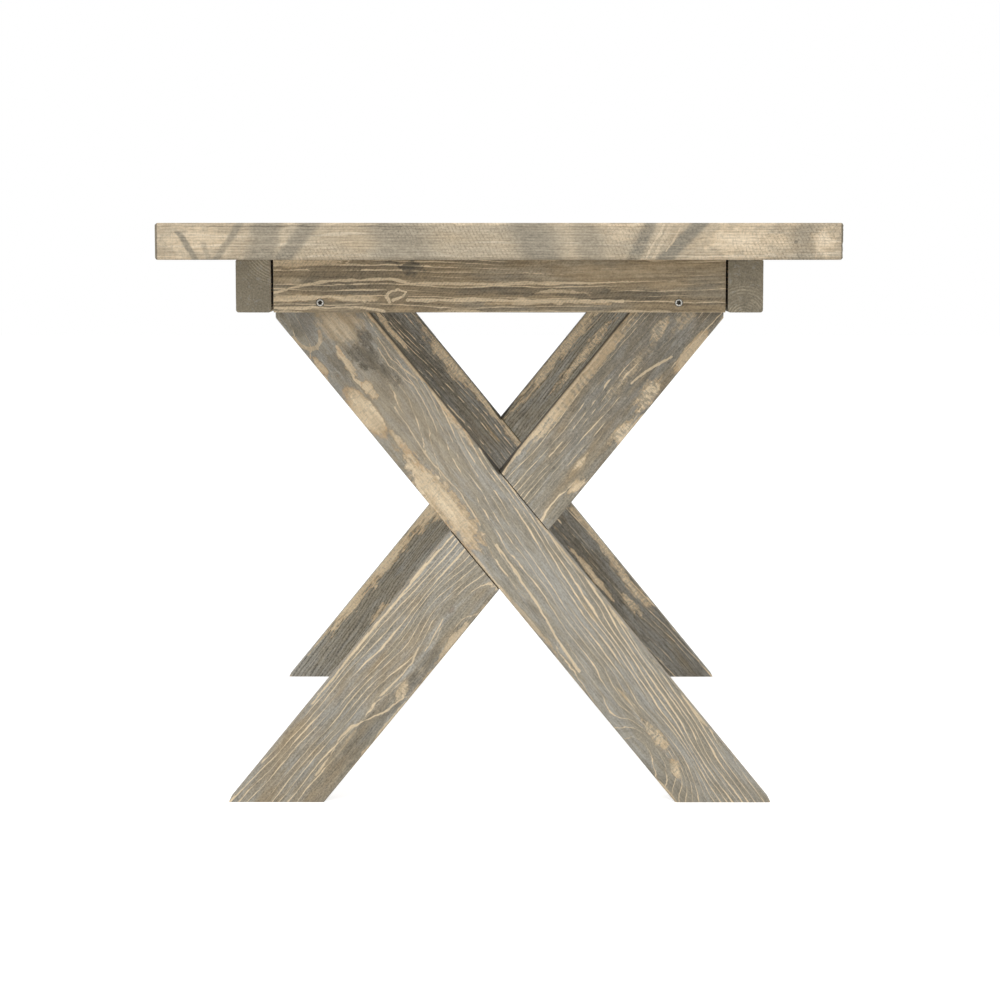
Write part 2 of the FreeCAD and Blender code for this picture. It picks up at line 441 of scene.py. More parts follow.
def board_mesh(timber, material, arris, end_arris, ragged_end=0.0, extra_length=0.0):
    """A board in its place, before any cut or hole. A ragged end has finer cells."""
    sizes = bpy.context.scene.sawbuck_table
    length = timber.length + extra_length
    finer = 0.35
    cell_width = sizes.cell_width * (finer if ragged_end else 1.0)
    inputs = {
        "Length": length,
        "Width": timber.width,
        "Thickness": timber.thickness,
        "Length Cells": cells_for(length, end_arris, sizes.cell_length),
        "Width Cells": cells_for(timber.width, arris, cell_width),
        "Thickness Cells": cells_for(timber.thickness, arris, cell_width),
        "Arris Radius": arris,
        "End Arris Radius": end_arris,
        "Face Unevenness": sizes.face_unevenness,
        "Arris Unevenness": sizes.arris_unevenness,
        "Ragged End": ragged_end,
        "Seed": timber.grain.seed,
        "Material": material,
    }
    mesh = grown(timber.node, bpy.data.node_groups["planed_board"], inputs)
    mesh.transform(timber.place)
    return mesh


# Cuts and holes

def cut_square(mesh, point, outward):
    """Cuts a board off at a plane, and closes it there."""
    shape = bmesh.new()
    shape.from_mesh(mesh)
    everything = shape.verts[:] + shape.edges[:] + shape.faces[:]
    on_plane = 1e-4 * MM
    cut = bmesh.ops.bisect_plane(
        shape, geom=everything, plane_co=point, plane_no=outward, clear_outer=True, dist=on_plane
    )
    rim = [item for item in cut["geom_cut"] if isinstance(item, bmesh.types.BMEdge)]
    bmesh.ops.edgeloop_fill(shape, edges=rim)
    bmesh.ops.recalc_face_normals(shape, faces=shape.faces[:])
    shape.to_mesh(mesh)
    shape.free()


def carved(mesh, cutters):
    """The mesh with the cutters' shapes taken away."""
    if not cutters:
        return mesh
    work = bpy.data.objects.new("work", mesh)
    tools = bpy.data.collections.new("tools")
    bpy.context.scene.collection.objects.link(work)
    bpy.context.scene.collection.children.link(tools)
    for number, cutter in enumerate(cutters):
        tools.objects.link(bpy.data.objects.new(f"tool_{number}", cutter))
    modifier = work.modifiers.new("carve", "BOOLEAN")
    modifier.operation = "DIFFERENCE"
    modifier.operand_type = "COLLECTION"
    modifier.collection = tools
    modifier.solver = "MANIFOLD"
    evaluated = work.evaluated_get(bpy.context.evaluated_depsgraph_get())
    result = bpy.data.meshes.new_from_object(evaluated)
    result.name = mesh.name
    for tool in list(tools.objects):
        bpy.data.objects.remove(tool)
    bpy.data.collections.remove(tools)
    bpy.data.objects.remove(work)
    return result


def finish_piece(mesh, slot, node):
    """A finished piece: one material on every face, smooth where rounded, in place of its CAD node."""
    material = next(found for found in mesh.materials if found)
    mesh.materials.clear()
    mesh.materials.append(material)
    mesh.polygons.foreach_set("material_index", [0] * len(mesh.polygons))
    mesh.update()
    mesh.polygons.foreach_set("use_smooth", [True] * len(mesh.polygons))
    mesh.set_sharp_from_angle(angle=SMOOTH_UNDER)
    piece = bpy.data.objects.new("finished_" + node, mesh)
    bpy.context.scene.collection.objects.link(piece)
    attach(piece, BODY)
    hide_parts(node)


# Screws and dowels

@dataclass
class Screw:
    """A wood screw, or a dowel: the middle of its head, its way in and its length, in metres."""
    head: Vector
    way_in: Vector
    length: float


def islands_of(node):
    """The points of each solid of a CAD node."""
    mesh = bmesh.new()
    mesh.from_mesh(frame["nodes"][node].data)
    weld = 1e-3 * MM
    bmesh.ops.remove_doubles(mesh, verts=mesh.verts[:], dist=weld)
    found = []
    left = set(mesh.verts)
    while left:
        island = []
        edge_of_island = [left.pop()]
        while edge_of_island:
            vertex = edge_of_island.pop()
            island.append(vertex.co.copy())
            for edge in vertex.link_edges:
                other = edge.other_vert(vertex)
                if other in left:
                    left.discard(other)
                    edge_of_island.append(other)
        found.append(island)
    mesh.free()
    return found


@lru_cache
def screws_of(node):
    """The screws, or dowels, of a CAD node, read from its solids."""
    return [screw_from_points(points) for points in islands_of(node)]


def screw_from_points(points):
    """A screw from the points of its solid: it lies along the longest side of its box, head first."""
    low = Vector([min(p[axis] for p in points) for axis in range(3)])
    high = Vector([max(p[axis] for p in points) for axis in range(3)])
    span = high - low
    axis = max(range(3), key=lambda side: span[side])
    middle = (low + high) / 2
    head_radius = max(span[side] for side in range(3) if side != axis) / 2
    near_rim = 0.9 * head_radius
    wide = [p for p in points if (p - middle - (p - middle)[axis] * unit(axis)).length > near_rim]
    head_is_high = sum(p[axis] for p in wide) / len(wide) > middle[axis]
    head = middle.copy()
    head[axis] = high[axis] if head_is_high else low[axis]
    way_in = unit(axis) * (-1 if head_is_high else 1)
    return Screw(head, way_in, span[axis])


def unit(axis):
    return Vector([1.0 if side == axis else 0.0 for side in range(3)])


def ring_of(shape, height, radius_at, sides=SCREW_SIDES):
    """A closed ring of vertices round Z."""
    ring = []
    for number in range(sides):
        turn = FULL_TURN * number / sides
        radius = radius_at(turn)
        ring.append(shape.verts.new((radius * math.cos(turn), radius * math.sin(turn), height)))
    return ring


def round_at(radius):
    return lambda turn: radius


def sleeve(shape, rings):
    """Faces between each ring and the next."""
    sides = len(rings[0])
    for upper, lower in zip(rings, rings[1:]):
        for number in range(sides):
            after = (number + 1) % sides
            shape.faces.new((upper[number], lower[number], lower[after], upper[after]))


def fan(shape, ring, height):
    """Closes a ring on a point."""
    point = shape.verts.new((0, 0, height))
    for number in range(SCREW_SIDES):
        shape.faces.new((ring[number], ring[(number + 1) % SCREW_SIDES], point))


def mesh_of(shape, name):
    """The plain mesh of a shape, with its faces pointing outwards."""
    bmesh.ops.recalc_face_normals(shape, faces=shape.faces[:])
    mesh = bpy.data.meshes.new(name)
    shape.to_mesh(mesh)
    shape.free()
    return mesh


def tube(name, profile, sides=SCREW_SIDES):
    """A closed tube round Z through rings, each given by its height and its radius at a turn."""
    shape = bmesh.new()
    rings = [ring_of(shape, height, radius_at, sides) for height, radius_at in profile]
    sleeve(shape, rings)
    shape.faces.new(rings[0])
    shape.faces.new(rings[-1])
    return mesh_of(shape, name)


def sunk_at(mesh, pin):
    """The mesh of a hole, turned and moved to where a screw or dowel goes in."""
    turn = Vector((0, 0, -1)).rotation_difference(pin.way_in)
    mesh.transform(Matrix.Translation(pin.head) @ turn.to_matrix().to_4x4())
    return mesh


def screw_mesh(length):
    """A flat-headed wood screw with a six-lobed recess and a coarse thread: head on Z = 0, tip down."""
    sizes = bpy.context.scene.sawbuck_table
    head = sizes.screw_head / 2
    recess = sizes.recess / 2
    shank = sizes.screw_shank / 2
    core = shank * 0.68
    neck = shank * 0.8
    rim = 0.6 * MM
    recess_depth = 2.2 * MM
    recess_point = 2.5 * MM
    recess_lip = 0.35 * MM
    ease = 0.25 * MM
    dish = 0.05 * MM
    cone_end = -rim - (head - shank)
    plain_share = 0.22
    thread_start = cone_end - plain_share * length
    tip_start = -length + 7 * MM
    tip_end = -length + 0.4 * MM
    pitch = 2.6 * MM
    rows_per_turn = 6
    taper = 0.92
    lobe_depth = 0.14
    crest_sharpness = 3.2
    rim_grime_and_shade = 0.8

    def lobed(turn):
        return recess * (1 - lobe_depth + lobe_depth * math.cos(LOBES * turn))

    def thread_at(height, crest, root):
        def radius(turn):
            share = (height / pitch + turn / FULL_TURN) % 1.0
            return root + (crest - root) * max(0.0, 1 - abs(share - 0.5) * crest_sharpness)
        return radius

    shape = bmesh.new()
    grime = shape.verts.layers.float.new("grime")
    rim_rings = [ring_of(shape, height, round_at(head)) for height in (-ease, -rim)]
    rings = [
        ring_of(shape, -recess_depth, lambda turn: lobed(turn) * 0.8),
        ring_of(shape, -recess_lip, lobed),
        ring_of(shape, -dish, lambda turn: lobed(turn) * 1.1),
        ring_of(shape, 0.0, lambda turn: lobed(turn) * 0.4 + head * 0.45),
        ring_of(shape, -dish, round_at(head - ease)),
        *rim_rings,
        ring_of(shape, cone_end, round_at(neck)),
        ring_of(shape, thread_start, round_at(neck)),
    ]
    rows = int((thread_start - tip_start) / pitch * rows_per_turn)
    for row in range(1, rows + 1):
        height = thread_start + (tip_start - thread_start) * row / rows
        rings.append(ring_of(shape, height, thread_at(height, shank, core)))
    for row in range(1, rows_per_turn + 1):
        share = row / rows_per_turn
        height = tip_start + (tip_end - tip_start) * share
        thinner = 1 - taper * share
        rings.append(ring_of(shape, height, thread_at(height, shank * thinner, core * thinner)))
    sleeve(shape, rings)
    fan(shape, rings[0], -recess_point)
    fan(shape, rings[-1], -length)
    # Grime with painted shade: the recess and the rim of the head are darkened where shade falls in the
    # hole.
    for vertex in shape.verts:
        deep = -recess_point - dish < vertex.co.z < -0.2 * MM
        in_recess = deep and Vector(vertex.co[:2]).length < recess
        vertex[grime] = 1.0 if in_recess else 0.0
    for ring in rim_rings:
        for vertex in ring:
            vertex[grime] = rim_grime_and_shade
    return mesh_of(shape, "screw_pattern")


def hole_mesh(screw):
    """The countersunk hole of a screw, with a mouth that reaches out of the timber."""
    sizes = bpy.context.scene.sawbuck_table
    room = 0.12 * MM
    head_room = 0.8 * MM
    rim = 0.6 * MM
    point = 0.3 * MM
    point_length = 6 * MM
    head = sizes.screw_head / 2 + head_room
    shank = sizes.screw_shank / 2 + room
    profile = [
        (sizes.hole_mouth, head),
        (-rim, head),
        (-rim - (head - shank), shank),
        (-screw.length + point_length, shank),
        (-screw.length - room, point),
    ]
    return sunk_at(tube("hole", [(height, round_at(radius)) for height, radius in profile]), screw)


def dowel_mesh(dowel):
    """A fluted dowel with eased ends: start on Z = 0, end down."""
    sizes = bpy.context.scene.sawbuck_table
    ease = 0.8 * MM
    eased = 0.86
    flute_depth = 0.035

    def fluted(share):
        def radius(turn):
            flute = (0.5 + 0.5 * math.cos(sizes.dowel_flutes * turn)) ** 3
            return sizes.dowel / 2 * share * (1 - flute_depth * flute)
        return radius

    end = -dowel.length
    profile = ((0.0, eased), (-ease, 1.0), (end / 2, 1.0), (end + ease, 1.0), (end, eased))
    return tube("dowel_pattern", [(height, fluted(share)) for height, share in profile], 4 * SCREW_SIDES)


def dowel_hole_mesh(dowel):
    """The plain hole of a dowel."""
    room = 0.1 * MM
    radius_at = round_at(bpy.context.scene.sawbuck_table.dowel / 2 + room)
    profile = [(height, radius_at) for height in (room, -dowel.length - room)]
    return sunk_at(tube("dowel_hole", profile), dowel)


def scatter_tree():
    """Makes the node tree that puts a pattern at every point of a mesh, turned to the point's heading."""
    tree, asked = opened_tree("scatter", {
        "Points": ("Geometry", None),
        "Pattern": ("Object", None),
        "Material": ("Material", None),
    })
    attribute = "GeometryNodeInputNamedAttribute"
    pattern = new_term(tree, "GeometryNodeObjectInfo", {"Object": asked["Pattern"]}, "Geometry")
    heading = new_term(tree, attribute, {"Name": "heading"}, "Attribute", data_type="FLOAT_VECTOR")
    spin = new_term(tree, attribute, {"Name": "spin"}, "Attribute", data_type="FLOAT")
    spun = new_term(tree, "FunctionNodeAxisAngleToRotation", {"Axis": (0, 0, 1), "Angle": spin})
    turned = new_term(tree, "FunctionNodeAlignRotationToVector", {"Vector": heading}, axis="Z")
    turns = {"Rotation": turned, "Rotate By": spun}
    rotation = new_term(tree, "FunctionNodeRotateRotation", turns, rotation_space="LOCAL")
    values = {"Points": asked["Points"], "Instance": pattern, "Rotation": rotation}
    close_tree(tree, new_term(tree, "GeometryNodeInstanceOnPoints", values), asked["Material"])


def scattered(name, pattern_mesh, places, material):
    """One mesh with the pattern at every (point, direction, spin)."""
    points = bpy.data.meshes.new(name + "_points")
    points.from_pydata([point for point, _, _ in places], [], [])
    points.attributes.new("heading", "FLOAT_VECTOR", "POINT")
    points.attributes.new("spin", "FLOAT", "POINT")
    for number, (_, heading, spin) in enumerate(places):
        points.attributes["heading"].data[number].vector = heading
        points.attributes["spin"].data[number].value = spin
    pattern = bpy.data.objects.new(name + "_pattern", pattern_mesh)
    bpy.context.scene.collection.objects.link(pattern)
    mesh = grown(name, bpy.data.node_groups["scatter"], {"Pattern": pattern, "Material": material}, points)
    bpy.data.objects.remove(pattern)
    return mesh


# Finishes

def rgba(colour):
    return (*colour, 1.0)


def rgb(tree, colour):
    node = add_node(tree, "ShaderNodeRGB")
    node.outputs[0].default_value = rgba(colour)
    return Term(tree, node.outputs[0])


def new_finish(name):
    """A new material, its node tree and its shader."""
    material = bpy.data.materials.new(name)
    material.use_nodes = True
    return material, material.node_tree, material.node_tree.nodes["Principled BSDF"]


def feed(shader, terms):
    """Links terms to the inputs of a shader."""
    for name, term in terms.items():
        term.tree.links.new(term.socket, shader.inputs[name])


def bumped(height, strength, distance):
    return height.made("ShaderNodeBump", {"Height": height, "Strength": strength, "Distance": distance})


def object_point(tree):
    return new_term(tree, "ShaderNodeTexCoord", output="Object")


def local_point(tree, timber):
    """Object coordinates turned into the board's own millimetres: along, across and through its grain."""
    turn = timber.turn.transposed()
    return new_term(tree, "ShaderNodeMapping", {
        "Vector": object_point(tree),
        "Location": -(turn @ timber.centre) / MM,
        "Rotation": turn.to_euler(),
        "Scale": (1 / MM, 1 / MM, 1 / MM),
    })


class WashedTimber:
    """The finish of one board: wood under a grey wash, sanded back on its rings, arrises and in patches.

    All lengths are in millimetres of the board itself: u along its grain, v across its width, w through it.
    """
    SAW_PITCH = 4.6
    ROW_PITCH = 3.5
    CHATTER_PITCH = 9
    OFF_THE_FACE = 99

    def __init__(self, timber):
        self.timber = timber
        self.grain = timber.grain
        self.look = bpy.context.scene.sawbuck_finish
        self.material, self.tree, self.shader = new_finish("washed_" + timber.node)
        self.point = local_point(self.tree, timber)
        self.u, self.v, self.w = self.point.parts()
        self.half_v = timber.width / MM / 2
        self.half_w = timber.thickness / MM / 2
        if self.grain.seen_on_edge:
            self.across = self.w
            self.hidden = self.v.rise(-self.half_v + 8, -self.half_v + 24)
        else:
            self.across = self.v
            self.hidden = 1.0 - self.w.rise(-8, 8)
        self.seen = vector_of(self.tree, self.u, self.across, 0.0)
        bend_along = self.swing(52, 24, 31, 3.0, 0.6) * 36
        bend_across = self.swing(46, 20, 32, 3.0, 0.6) * 15
        self.bent = vector_of(self.tree, self.u + bend_along, self.across + bend_across, 0.0)
        shake_along = self.swing(20, 14, 34, 2.0) * 5
        shake_across = self.swing(20, 14, 35, 3.0, 0.6) * 5
        self.shaken = vector_of(self.tree, self.u + shake_along, self.across + shake_across, 0.0)
        self.streaks = self.noise(95, 3.0, 4, 3.0, 0.6)
        self.fibre = self.noise(30, 1.5, 5, 2.0, 0.6)
        self.specks = self.noise(2.6, 1.9, 26, 2.0, 0.6)
        self.torn = self.swing(34, 6, 6, 4.0, 0.65) * 1.2 + self.swing(14, 2.2, 19, 2.0) * 0.9
        self.frayed = self.swing(11, 9, 33, 5.0, 0.7) * 1.5
        self.edge = self.torn * self.grain.combed + self.frayed * self.grain.fray - self.hidden * 9 + 1.0
        self.scales = self.noise(3.2, 7.0, 38, 4.0, 0.65).rise(0.45, 0.55)
        self.swell_noise = self.noise(30, 30, 27, 3.0)
        self.phase = self.ring_phase()
        self.ring = self.phase.math("FLOOR")
        self.part = self.phase - self.ring
        self.late = self.late_wood()
        self.banded = self.band_masks()
        self.bare = self.bare_wood()

    def noise(self, along, across, salt, detail=2.0, roughness=0.5):
        """Noise with sizes in millimetres along and across the grain, set apart from others by its salt."""
        seed = self.grain.seed + salt
        scale = (1 / along, 1 / across, 1 / across)
        shift = (seed * 7.31, seed * 3.17, seed * 5.77)
        return noise_at(self.point.vector("MULTIPLY_ADD", scale, shift), detail, roughness)

    def swing(self, *sizes):
        """The same noise from -0.5 to 0.5."""
        return self.noise(*sizes) - 0.5

    def away_from(self, spot, place=None):
        """0 in the middle of a spot and 1 on its edge."""
        scale = (1 / spot.half_length, 1 / spot.half_width, 0.0)
        shift = (-spot.along / spot.half_length, -spot.across / spot.half_width, 0.0)
        return (place or self.seen).vector("MULTIPLY_ADD", scale, shift).vector("LENGTH", output="Value")

    def inside(self, spot):
        """How far a point lies inside a torn spot: below 0 outside it and on the faces not seen."""
        if spot.ragged == 1.0:
            return self.edge - self.away_from(spot, self.bent)
        return (self.edge - 1.0) * spot.ragged + 1.0 - self.away_from(spot, self.shaken)

    def away_from_path(self, path):
        """Millimetres to the nearest point of a path."""
        nearest = None
        for start, end in zip(path, path[1:]):
            reach = Vector((end[0] - start[0], end[1] - start[1], 0.0))
            slope = reach / reach.length_squared
            along = self.shaken.vector("DOT_PRODUCT", slope, output="Value")
            share = (along - slope.dot(Vector((*start, 0.0)))).kept_between(0.0, 1.0)
            foot = share.vector("MULTIPLY_ADD", reach, (*start, 0.0))
            gap = self.shaken.vector("DISTANCE", foot, output="Value")
            nearest = gap if nearest is None else nearest.smaller(gap)
        return nearest + self.hidden * self.OFF_THE_FACE

    def drawn(self, stroke):
        """1 on a stroke, which swells, thins and breaks."""
        gap = self.away_from_path(stroke.path) + self.torn * (stroke.torn * 1.2)
        reach = stroke.half_width * (self.swell_noise * 2.6 - 0.3)
        return (1.0 - ((gap - reach) / 0.6).rise(-0.5, 0.5)) * stroke.strength

    def ring_phase(self):
        """Years of growth from the pith, which sways along the board. Knots have rings of their own."""
        grain = self.grain
        sways = [self.swing(480, 150, 1) * grain.sway, self.swing(390, 150, 2) * grain.sway]
        v_off, w_off = [
            side + sway - self.u * drift - pith
            for side, sway, drift, pith in zip((self.v, self.w), sways, grain.drift, grain.pith)
        ]
        radius = (v_off * v_off + w_off * w_off).root()
        self.steepness = (v_off.size() / radius).larger(0.14)
        radius = radius + self.swing(120, 34, 20, 1.0) * grain.swell
        for knot in grain.knots + grain.bulges:
            radius = radius + (1.0 - self.away_from(knot).rise(0.6, 2.4)) * knot.strength
        radius = radius + self.swing(40, 12, 3, 2.0) * grain.wobble
        radius = radius + self.swing(10, 4, 21, 1.0) * grain.wobble * 0.35
        years = radius / grain.ring_pitch
        uneven = noise_at(vector_of(self.tree, years * 0.37, grain.seed * 2.3, 0.0)) - 0.5
        years = years + uneven * 1.6
        for knot in grain.knots:
            away = self.away_from(knot)
            own = away * (knot.half_width / 4.0) + self.torn * 0.3
            years = years + (own - years) * (1.0 - away.rise(0.94, 1.0))
        return years

    def late_wood(self):
        """Thin lines of late wood, which lose their wash: they swell, taper and break along the grain."""
        grain = self.grain
        per_ring = noise_at(vector_of(self.tree, self.u / 230, self.ring * 3.71, grain.seed), 1.0)
        broken = noise_at(vector_of(self.tree, self.u / 60, self.ring * 5.3, self.v / 60), 3.0, 0.6)
        least = 0.60 - grain.lines_kept * 0.35
        tapered = broken.rise(0.34, 0.66) * 0.85 + 0.30
        thickness = per_ring.rise(least, least + 0.16) * tapered * grain.line_width
        for spot in grain.calm:
            thickness = thickness * (1.0 - self.inside(spot).rise(0.0, 0.5) * spot.strength)
        if grain.dashed:
            dash_point = vector_of(self.tree, self.u / 22, self.ring * 7.7, grain.seed)
            breaks = 1.0 - noise_at(dash_point, 1.0).rise(0.44, 0.56)
            for spot in grain.dashed:
                thickness = thickness * (1.0 - self.inside(spot).rise(0.0, 0.6) * breaks * spot.strength)
        width = thickness * self.steepness / grain.ring_pitch
        return self.part.rise(0.0, 0.03) * ((width - self.part) / 0.08).rise(-0.5, 0.5)

    def bare_wood(self):
        """Where the wash is gone: late wood, worn arrises, strokes, and sanded patches with torn edges."""
        grain = self.grain
        level = self.noise(120, 13, 7, 3.0, 0.6) + self.torn * 0.14 + grain.sanding
        bare = level.rise(0.67, 0.73) * (0.85 * grain.streaky)
        if grain.base_bare:
            bare = bare.larger(self.swing(70, 30, 28, 3.0) * 0.45 + grain.base_bare)
        rims = self.late * 0.9
        warm = self.late * 0.15
        for patch in grain.patches:
            inside = self.inside(patch)
            cover = inside.rise(0.0, patch.softness) * patch.strength
            if patch.broken:
                cover = cover * (1.0 - self.scales * patch.broken)
            bare = bare.larger(cover)
            warm = warm.larger((inside.rise(-0.06, 0.04) - inside.rise(0.1, 0.26)) * patch.strength)
            rims = rims.larger(inside.rise(0.1, patch.softness + 0.3) * patch.strength * patch.pale)
        self.warm_rims = warm
        for band in grain.chatter:
            shift = self.frayed * 4 + self.swing(60, 30, 42) * 12
            sweep = self.u * (FULL_TURN / self.CHATTER_PITCH) + shift
            ticks = sweep.math("SINE").rise(-0.6, 1.0) * self.noise(34, 12, 43).rise(0.38, 0.62)
            cover = self.inside(band).rise(0.0, band.softness) * band.strength
            bare = bare.larger(cover * (1.0 - ticks * 0.75))
        from_arris = (self.half_v - self.v.size()) + (self.half_w - self.w.size())
        reach = self.noise(80, 40, 8, 3.0).rise(0.45, 0.72) * grain.arris_wear + 0.2
        worn = 1.0 - (from_arris + self.torn * 2.4).rise(reach * 0.7, reach + 0.6)
        bare = bare.larger(worn * 0.85)
        rims = rims.larger(worn * 0.6)
        bare = bare - bare * self.noise(2.4, 6.0, 23, 3.0, 0.65).rise(0.5, 0.64) * 0.36
        if grain.bands:
            bare = bare - bare * self.banded
        for stroke in grain.strokes:
            line = self.drawn(stroke)
            bare = bare.larger(line)
            rims = rims.larger(line * 0.8)
        self.rims = rims
        return bare.larger(self.late * grain.line_strength)

    def band_masks(self):
        """1 on the traces of branches, which lean across the grain."""
        waver = self.swing(30, 10, 22, 3.0) * 5 + self.u
        mask = None
        for band in self.grain.bands:
            aside = (waver - band.along - self.w * band.lean).size() / band.half_width
            one = (1.0 - aside.rise(1.0 - band.softness, 1.0 + band.softness)) * band.strength
            if band.top < self.half_w:
                one = one * (1.0 - self.w.rise(band.top - 2, band.top + 2))
            mask = one if mask is None else mask.larger(one)
        return mask and mask * (1.0 - self.hidden)

    def saw_strokes(self):
        """Slanted strokes of the circular saw, in places, cut up by the rows of the grain."""
        grain = self.grain
        sweep = self.u + self.across * grain.saw_lean + self.swing(60, 30, 9) * 6
        wave = (sweep * (FULL_TURN / self.SAW_PITCH)).math("SINE")
        stroke = wave * 0.5 + self.swing(3.2, 2.2, 10, 2.0) * 3.0
        zone = self.noise(170, 60, 11).rise(0.40, 0.56)
        return stroke.rise(0.1, 0.7) * zone * grain.saw_marks

    def saw_rows(self):
        """Fine lines along the grain, close together and broken."""
        row = (self.across * (FULL_TURN / self.ROW_PITCH) + self.swing(160, 12, 29, 1.0) * 5).math("SINE")
        return (row * 0.5 + self.swing(14, 3, 30, 2.0) * 2.0).rise(0.0, 0.7) * self.grain.saw_rows

    def narrow_sides(self):
        """1 on the narrow sides of a leg, behind its arrises."""
        on_side = 1.0 - (self.half_v - self.v.size()).rise(0.2, 1.4)
        return on_side * (self.half_w - self.w.size()).rise(1.5, 4.0)

    def crotch(self):
        """1 close above the half lap, between two legs and over the upper arris, where shade is painted
        dark.
        """
        upward = math.copysign(1.0, self.timber.across.z)
        lap_end = -60
        widest = 2.8
        reach = self.u.rise(lap_end - 45, lap_end) * widest
        from_arris = self.half_v - self.v * upward - reach
        over_arris = (1.0 - from_arris.rise(0.0, 0.8)) * self.u.rise(lap_end - 50, lap_end - 25)
        behind = self.narrow_sides() * self.u.rise(lap_end - 65, lap_end - 20)
        return behind.larger(over_arris) * (1.0 - self.u.rise(lap_end, lap_end + 4))

    def wash_colour(self):
        """The grey wash: cool where it lies thick, warm where it is thin, with darker smudges and lines, and
        painted shade on the legs' narrow sides.
        """
        grain = self.grain
        look = self.look
        cloud = self.noise(150, 30, 12, 3.0) * 0.55 + self.noise(38, 6, 40, 3.0) * 0.45
        cloud = cloud + (grain.warmth - 0.5)
        wash = rgb(self.tree, look.wash_cool).blended(rgba(look.wash_warm), cloud.rise(0.38, 0.60))
        if grain.brown:
            soaked = self.noise(90, 22, 36, 3.0) + (grain.brown - 0.5)
            wash = wash.blended(rgba(look.wash_brown), soaked.rise(0.3, 0.7))
        dirt_and_shade = self.noise(75, 13, 13, 4.0, 0.62).rise(0.54, 0.74) * (0.4 * grain.streaky)
        mottled = self.noise(16, 8, 37, 4.0, 0.65).rise(0.3, 0.7) * 0.5 + 0.65
        for smudge in grain.smudges:
            dirt_and_shade = dirt_and_shade.larger(self.inside(smudge).rise(0.0, smudge.softness) * mottled * smudge.strength)
        # Painted shade: the narrow sides of the legs' upper halves darkened, where shade falls under the
        # top.
        if grain.painted_side_shade:
            dirt_and_shade = dirt_and_shade.larger(self.narrow_sides() * (1.0 - self.u.rise(-70, 10)) * grain.painted_side_shade)
        for stroke in grain.dark_strokes:
            dirt_and_shade = dirt_and_shade.larger(self.drawn(stroke))
        if grain.dark_ends:
            from_end = self.timber.length / MM / 2 - self.u.size()
            rim = 1.0 - (from_end + self.torn * 1.2).rise(2.6, 4.6)
            dirt_and_shade = dirt_and_shade.larger(rim * grain.dark_ends)
        self.dirt_and_shade = dirt_and_shade
        wash = wash.blended(rgba(look.wash_dark_and_shade), dirt_and_shade)
        mottle = self.swing(16, 5, 25, 3.0, 0.6) * 0.36
        lines = self.part.rise(0.35, 0.7) * (1.0 - self.part.rise(0.9, 1.0)) * grain.dark_lines
        fine = ((self.fibre - 0.5) * 0.75 + (self.specks - 0.5) * 1.1) * grain.coarse
        shade = 1.0 + mottle + (self.streaks - 0.5) * (0.5 * grain.streaky) + fine - lines
        return wash.scaled(shade * grain.tone)

    def bare_colour(self):
        """The bare wood: tan, paler in streaks and on the rings, and warm at the rims of the patches."""
        look = self.look
        grain = self.grain
        streaked = (self.noise(55, 10, 15, 3.0).rise(0.40, 0.70) - 0.5) * grain.streaky + 0.5
        share = streaked.larger(self.rims)
        pale = Vector(look.bare_pale).lerp(Vector(look.bare_cream), grain.cream)
        tan = rgb(self.tree, look.bare_wood).blended(rgba(pale), share)
        tan = tan.blended(rgba(look.bare_warm), self.warm_rims * grain.warm_rims)
        fine = (self.fibre - 0.5) * 0.5 + (self.specks - 0.5) * 0.5
        shade = 1.0 + (self.streaks - 0.5) * (0.4 * grain.streaky) + fine
        # Painted light: the last factor brightens the bare wood of boards that stand in shade.
        return tan.scaled(shade * grain.bare_painted_light)

    def knot_hearts(self, colour):
        for knot in self.grain.knots:
            heart = 1.0 - self.away_from(knot).rise(0.12, 0.34)
            colour = colour.blended(rgba(self.look.knot), heart * 0.35)
        return colour

    def end_grain(self, colour):
        """End grain drinks the wash and shows the rings as arcs."""
        normal = new_term(self.tree, "ShaderNodeNewGeometry", output="Normal")
        facing = normal.vector("DOT_PRODUCT", self.timber.along, output="Value")
        reach = self.grain.arcs_to
        fade = (1.0 - self.phase.rise(reach * 0.6, reach)) * self.noise(60, 26, 39, 2.0).rise(0.3, 0.6)
        arcs = self.part.rise(0.35, 0.8) * (1.0 - self.part.rise(0.9, 1.0)) * fade * 0.65 + 0.93
        cloud = self.noise(30, 18, 17, 3.0) * 0.4 + 0.8
        pores = self.noise(2.4, 2.4, 18, 3.0, 0.7) * 1.6 + 0.2
        scuffs = self.noise(40, 7, 41, 4.0, 0.7).rise(0.57, 0.64)
        ends = rgb(self.tree, self.look.end_grain).scaled(arcs * pores * cloud)
        ends = ends.blended(rgba(self.look.wash_cool), scuffs * 0.55)
        return colour.blended(ends, facing.size().rise(0.6, 0.85))

    def built(self):
        """The material, with its colour, roughness and bump."""
        grain = self.grain
        crotch_shade_cover = 0.85
        band_shade = 0.17
        mark_shade = 0.27
        mark_depth = 0.4
        bump_height = 0.4 * MM
        wash = self.wash_colour()
        bare = self.bare * self.look.sanding_strength
        if grain.smudges or grain.dark_strokes or grain.dark_ends or grain.painted_side_shade:
            bare = bare * (1.0 - self.dirt_and_shade.rise(0.45, 0.9) * 0.8)
        marks = None
        if grain.saw_marks:
            marks = self.saw_strokes()
        if grain.saw_rows:
            marks = self.saw_rows() if marks is None else marks.larger(self.saw_rows())
        colour = wash.blended(self.bare_colour(), bare)
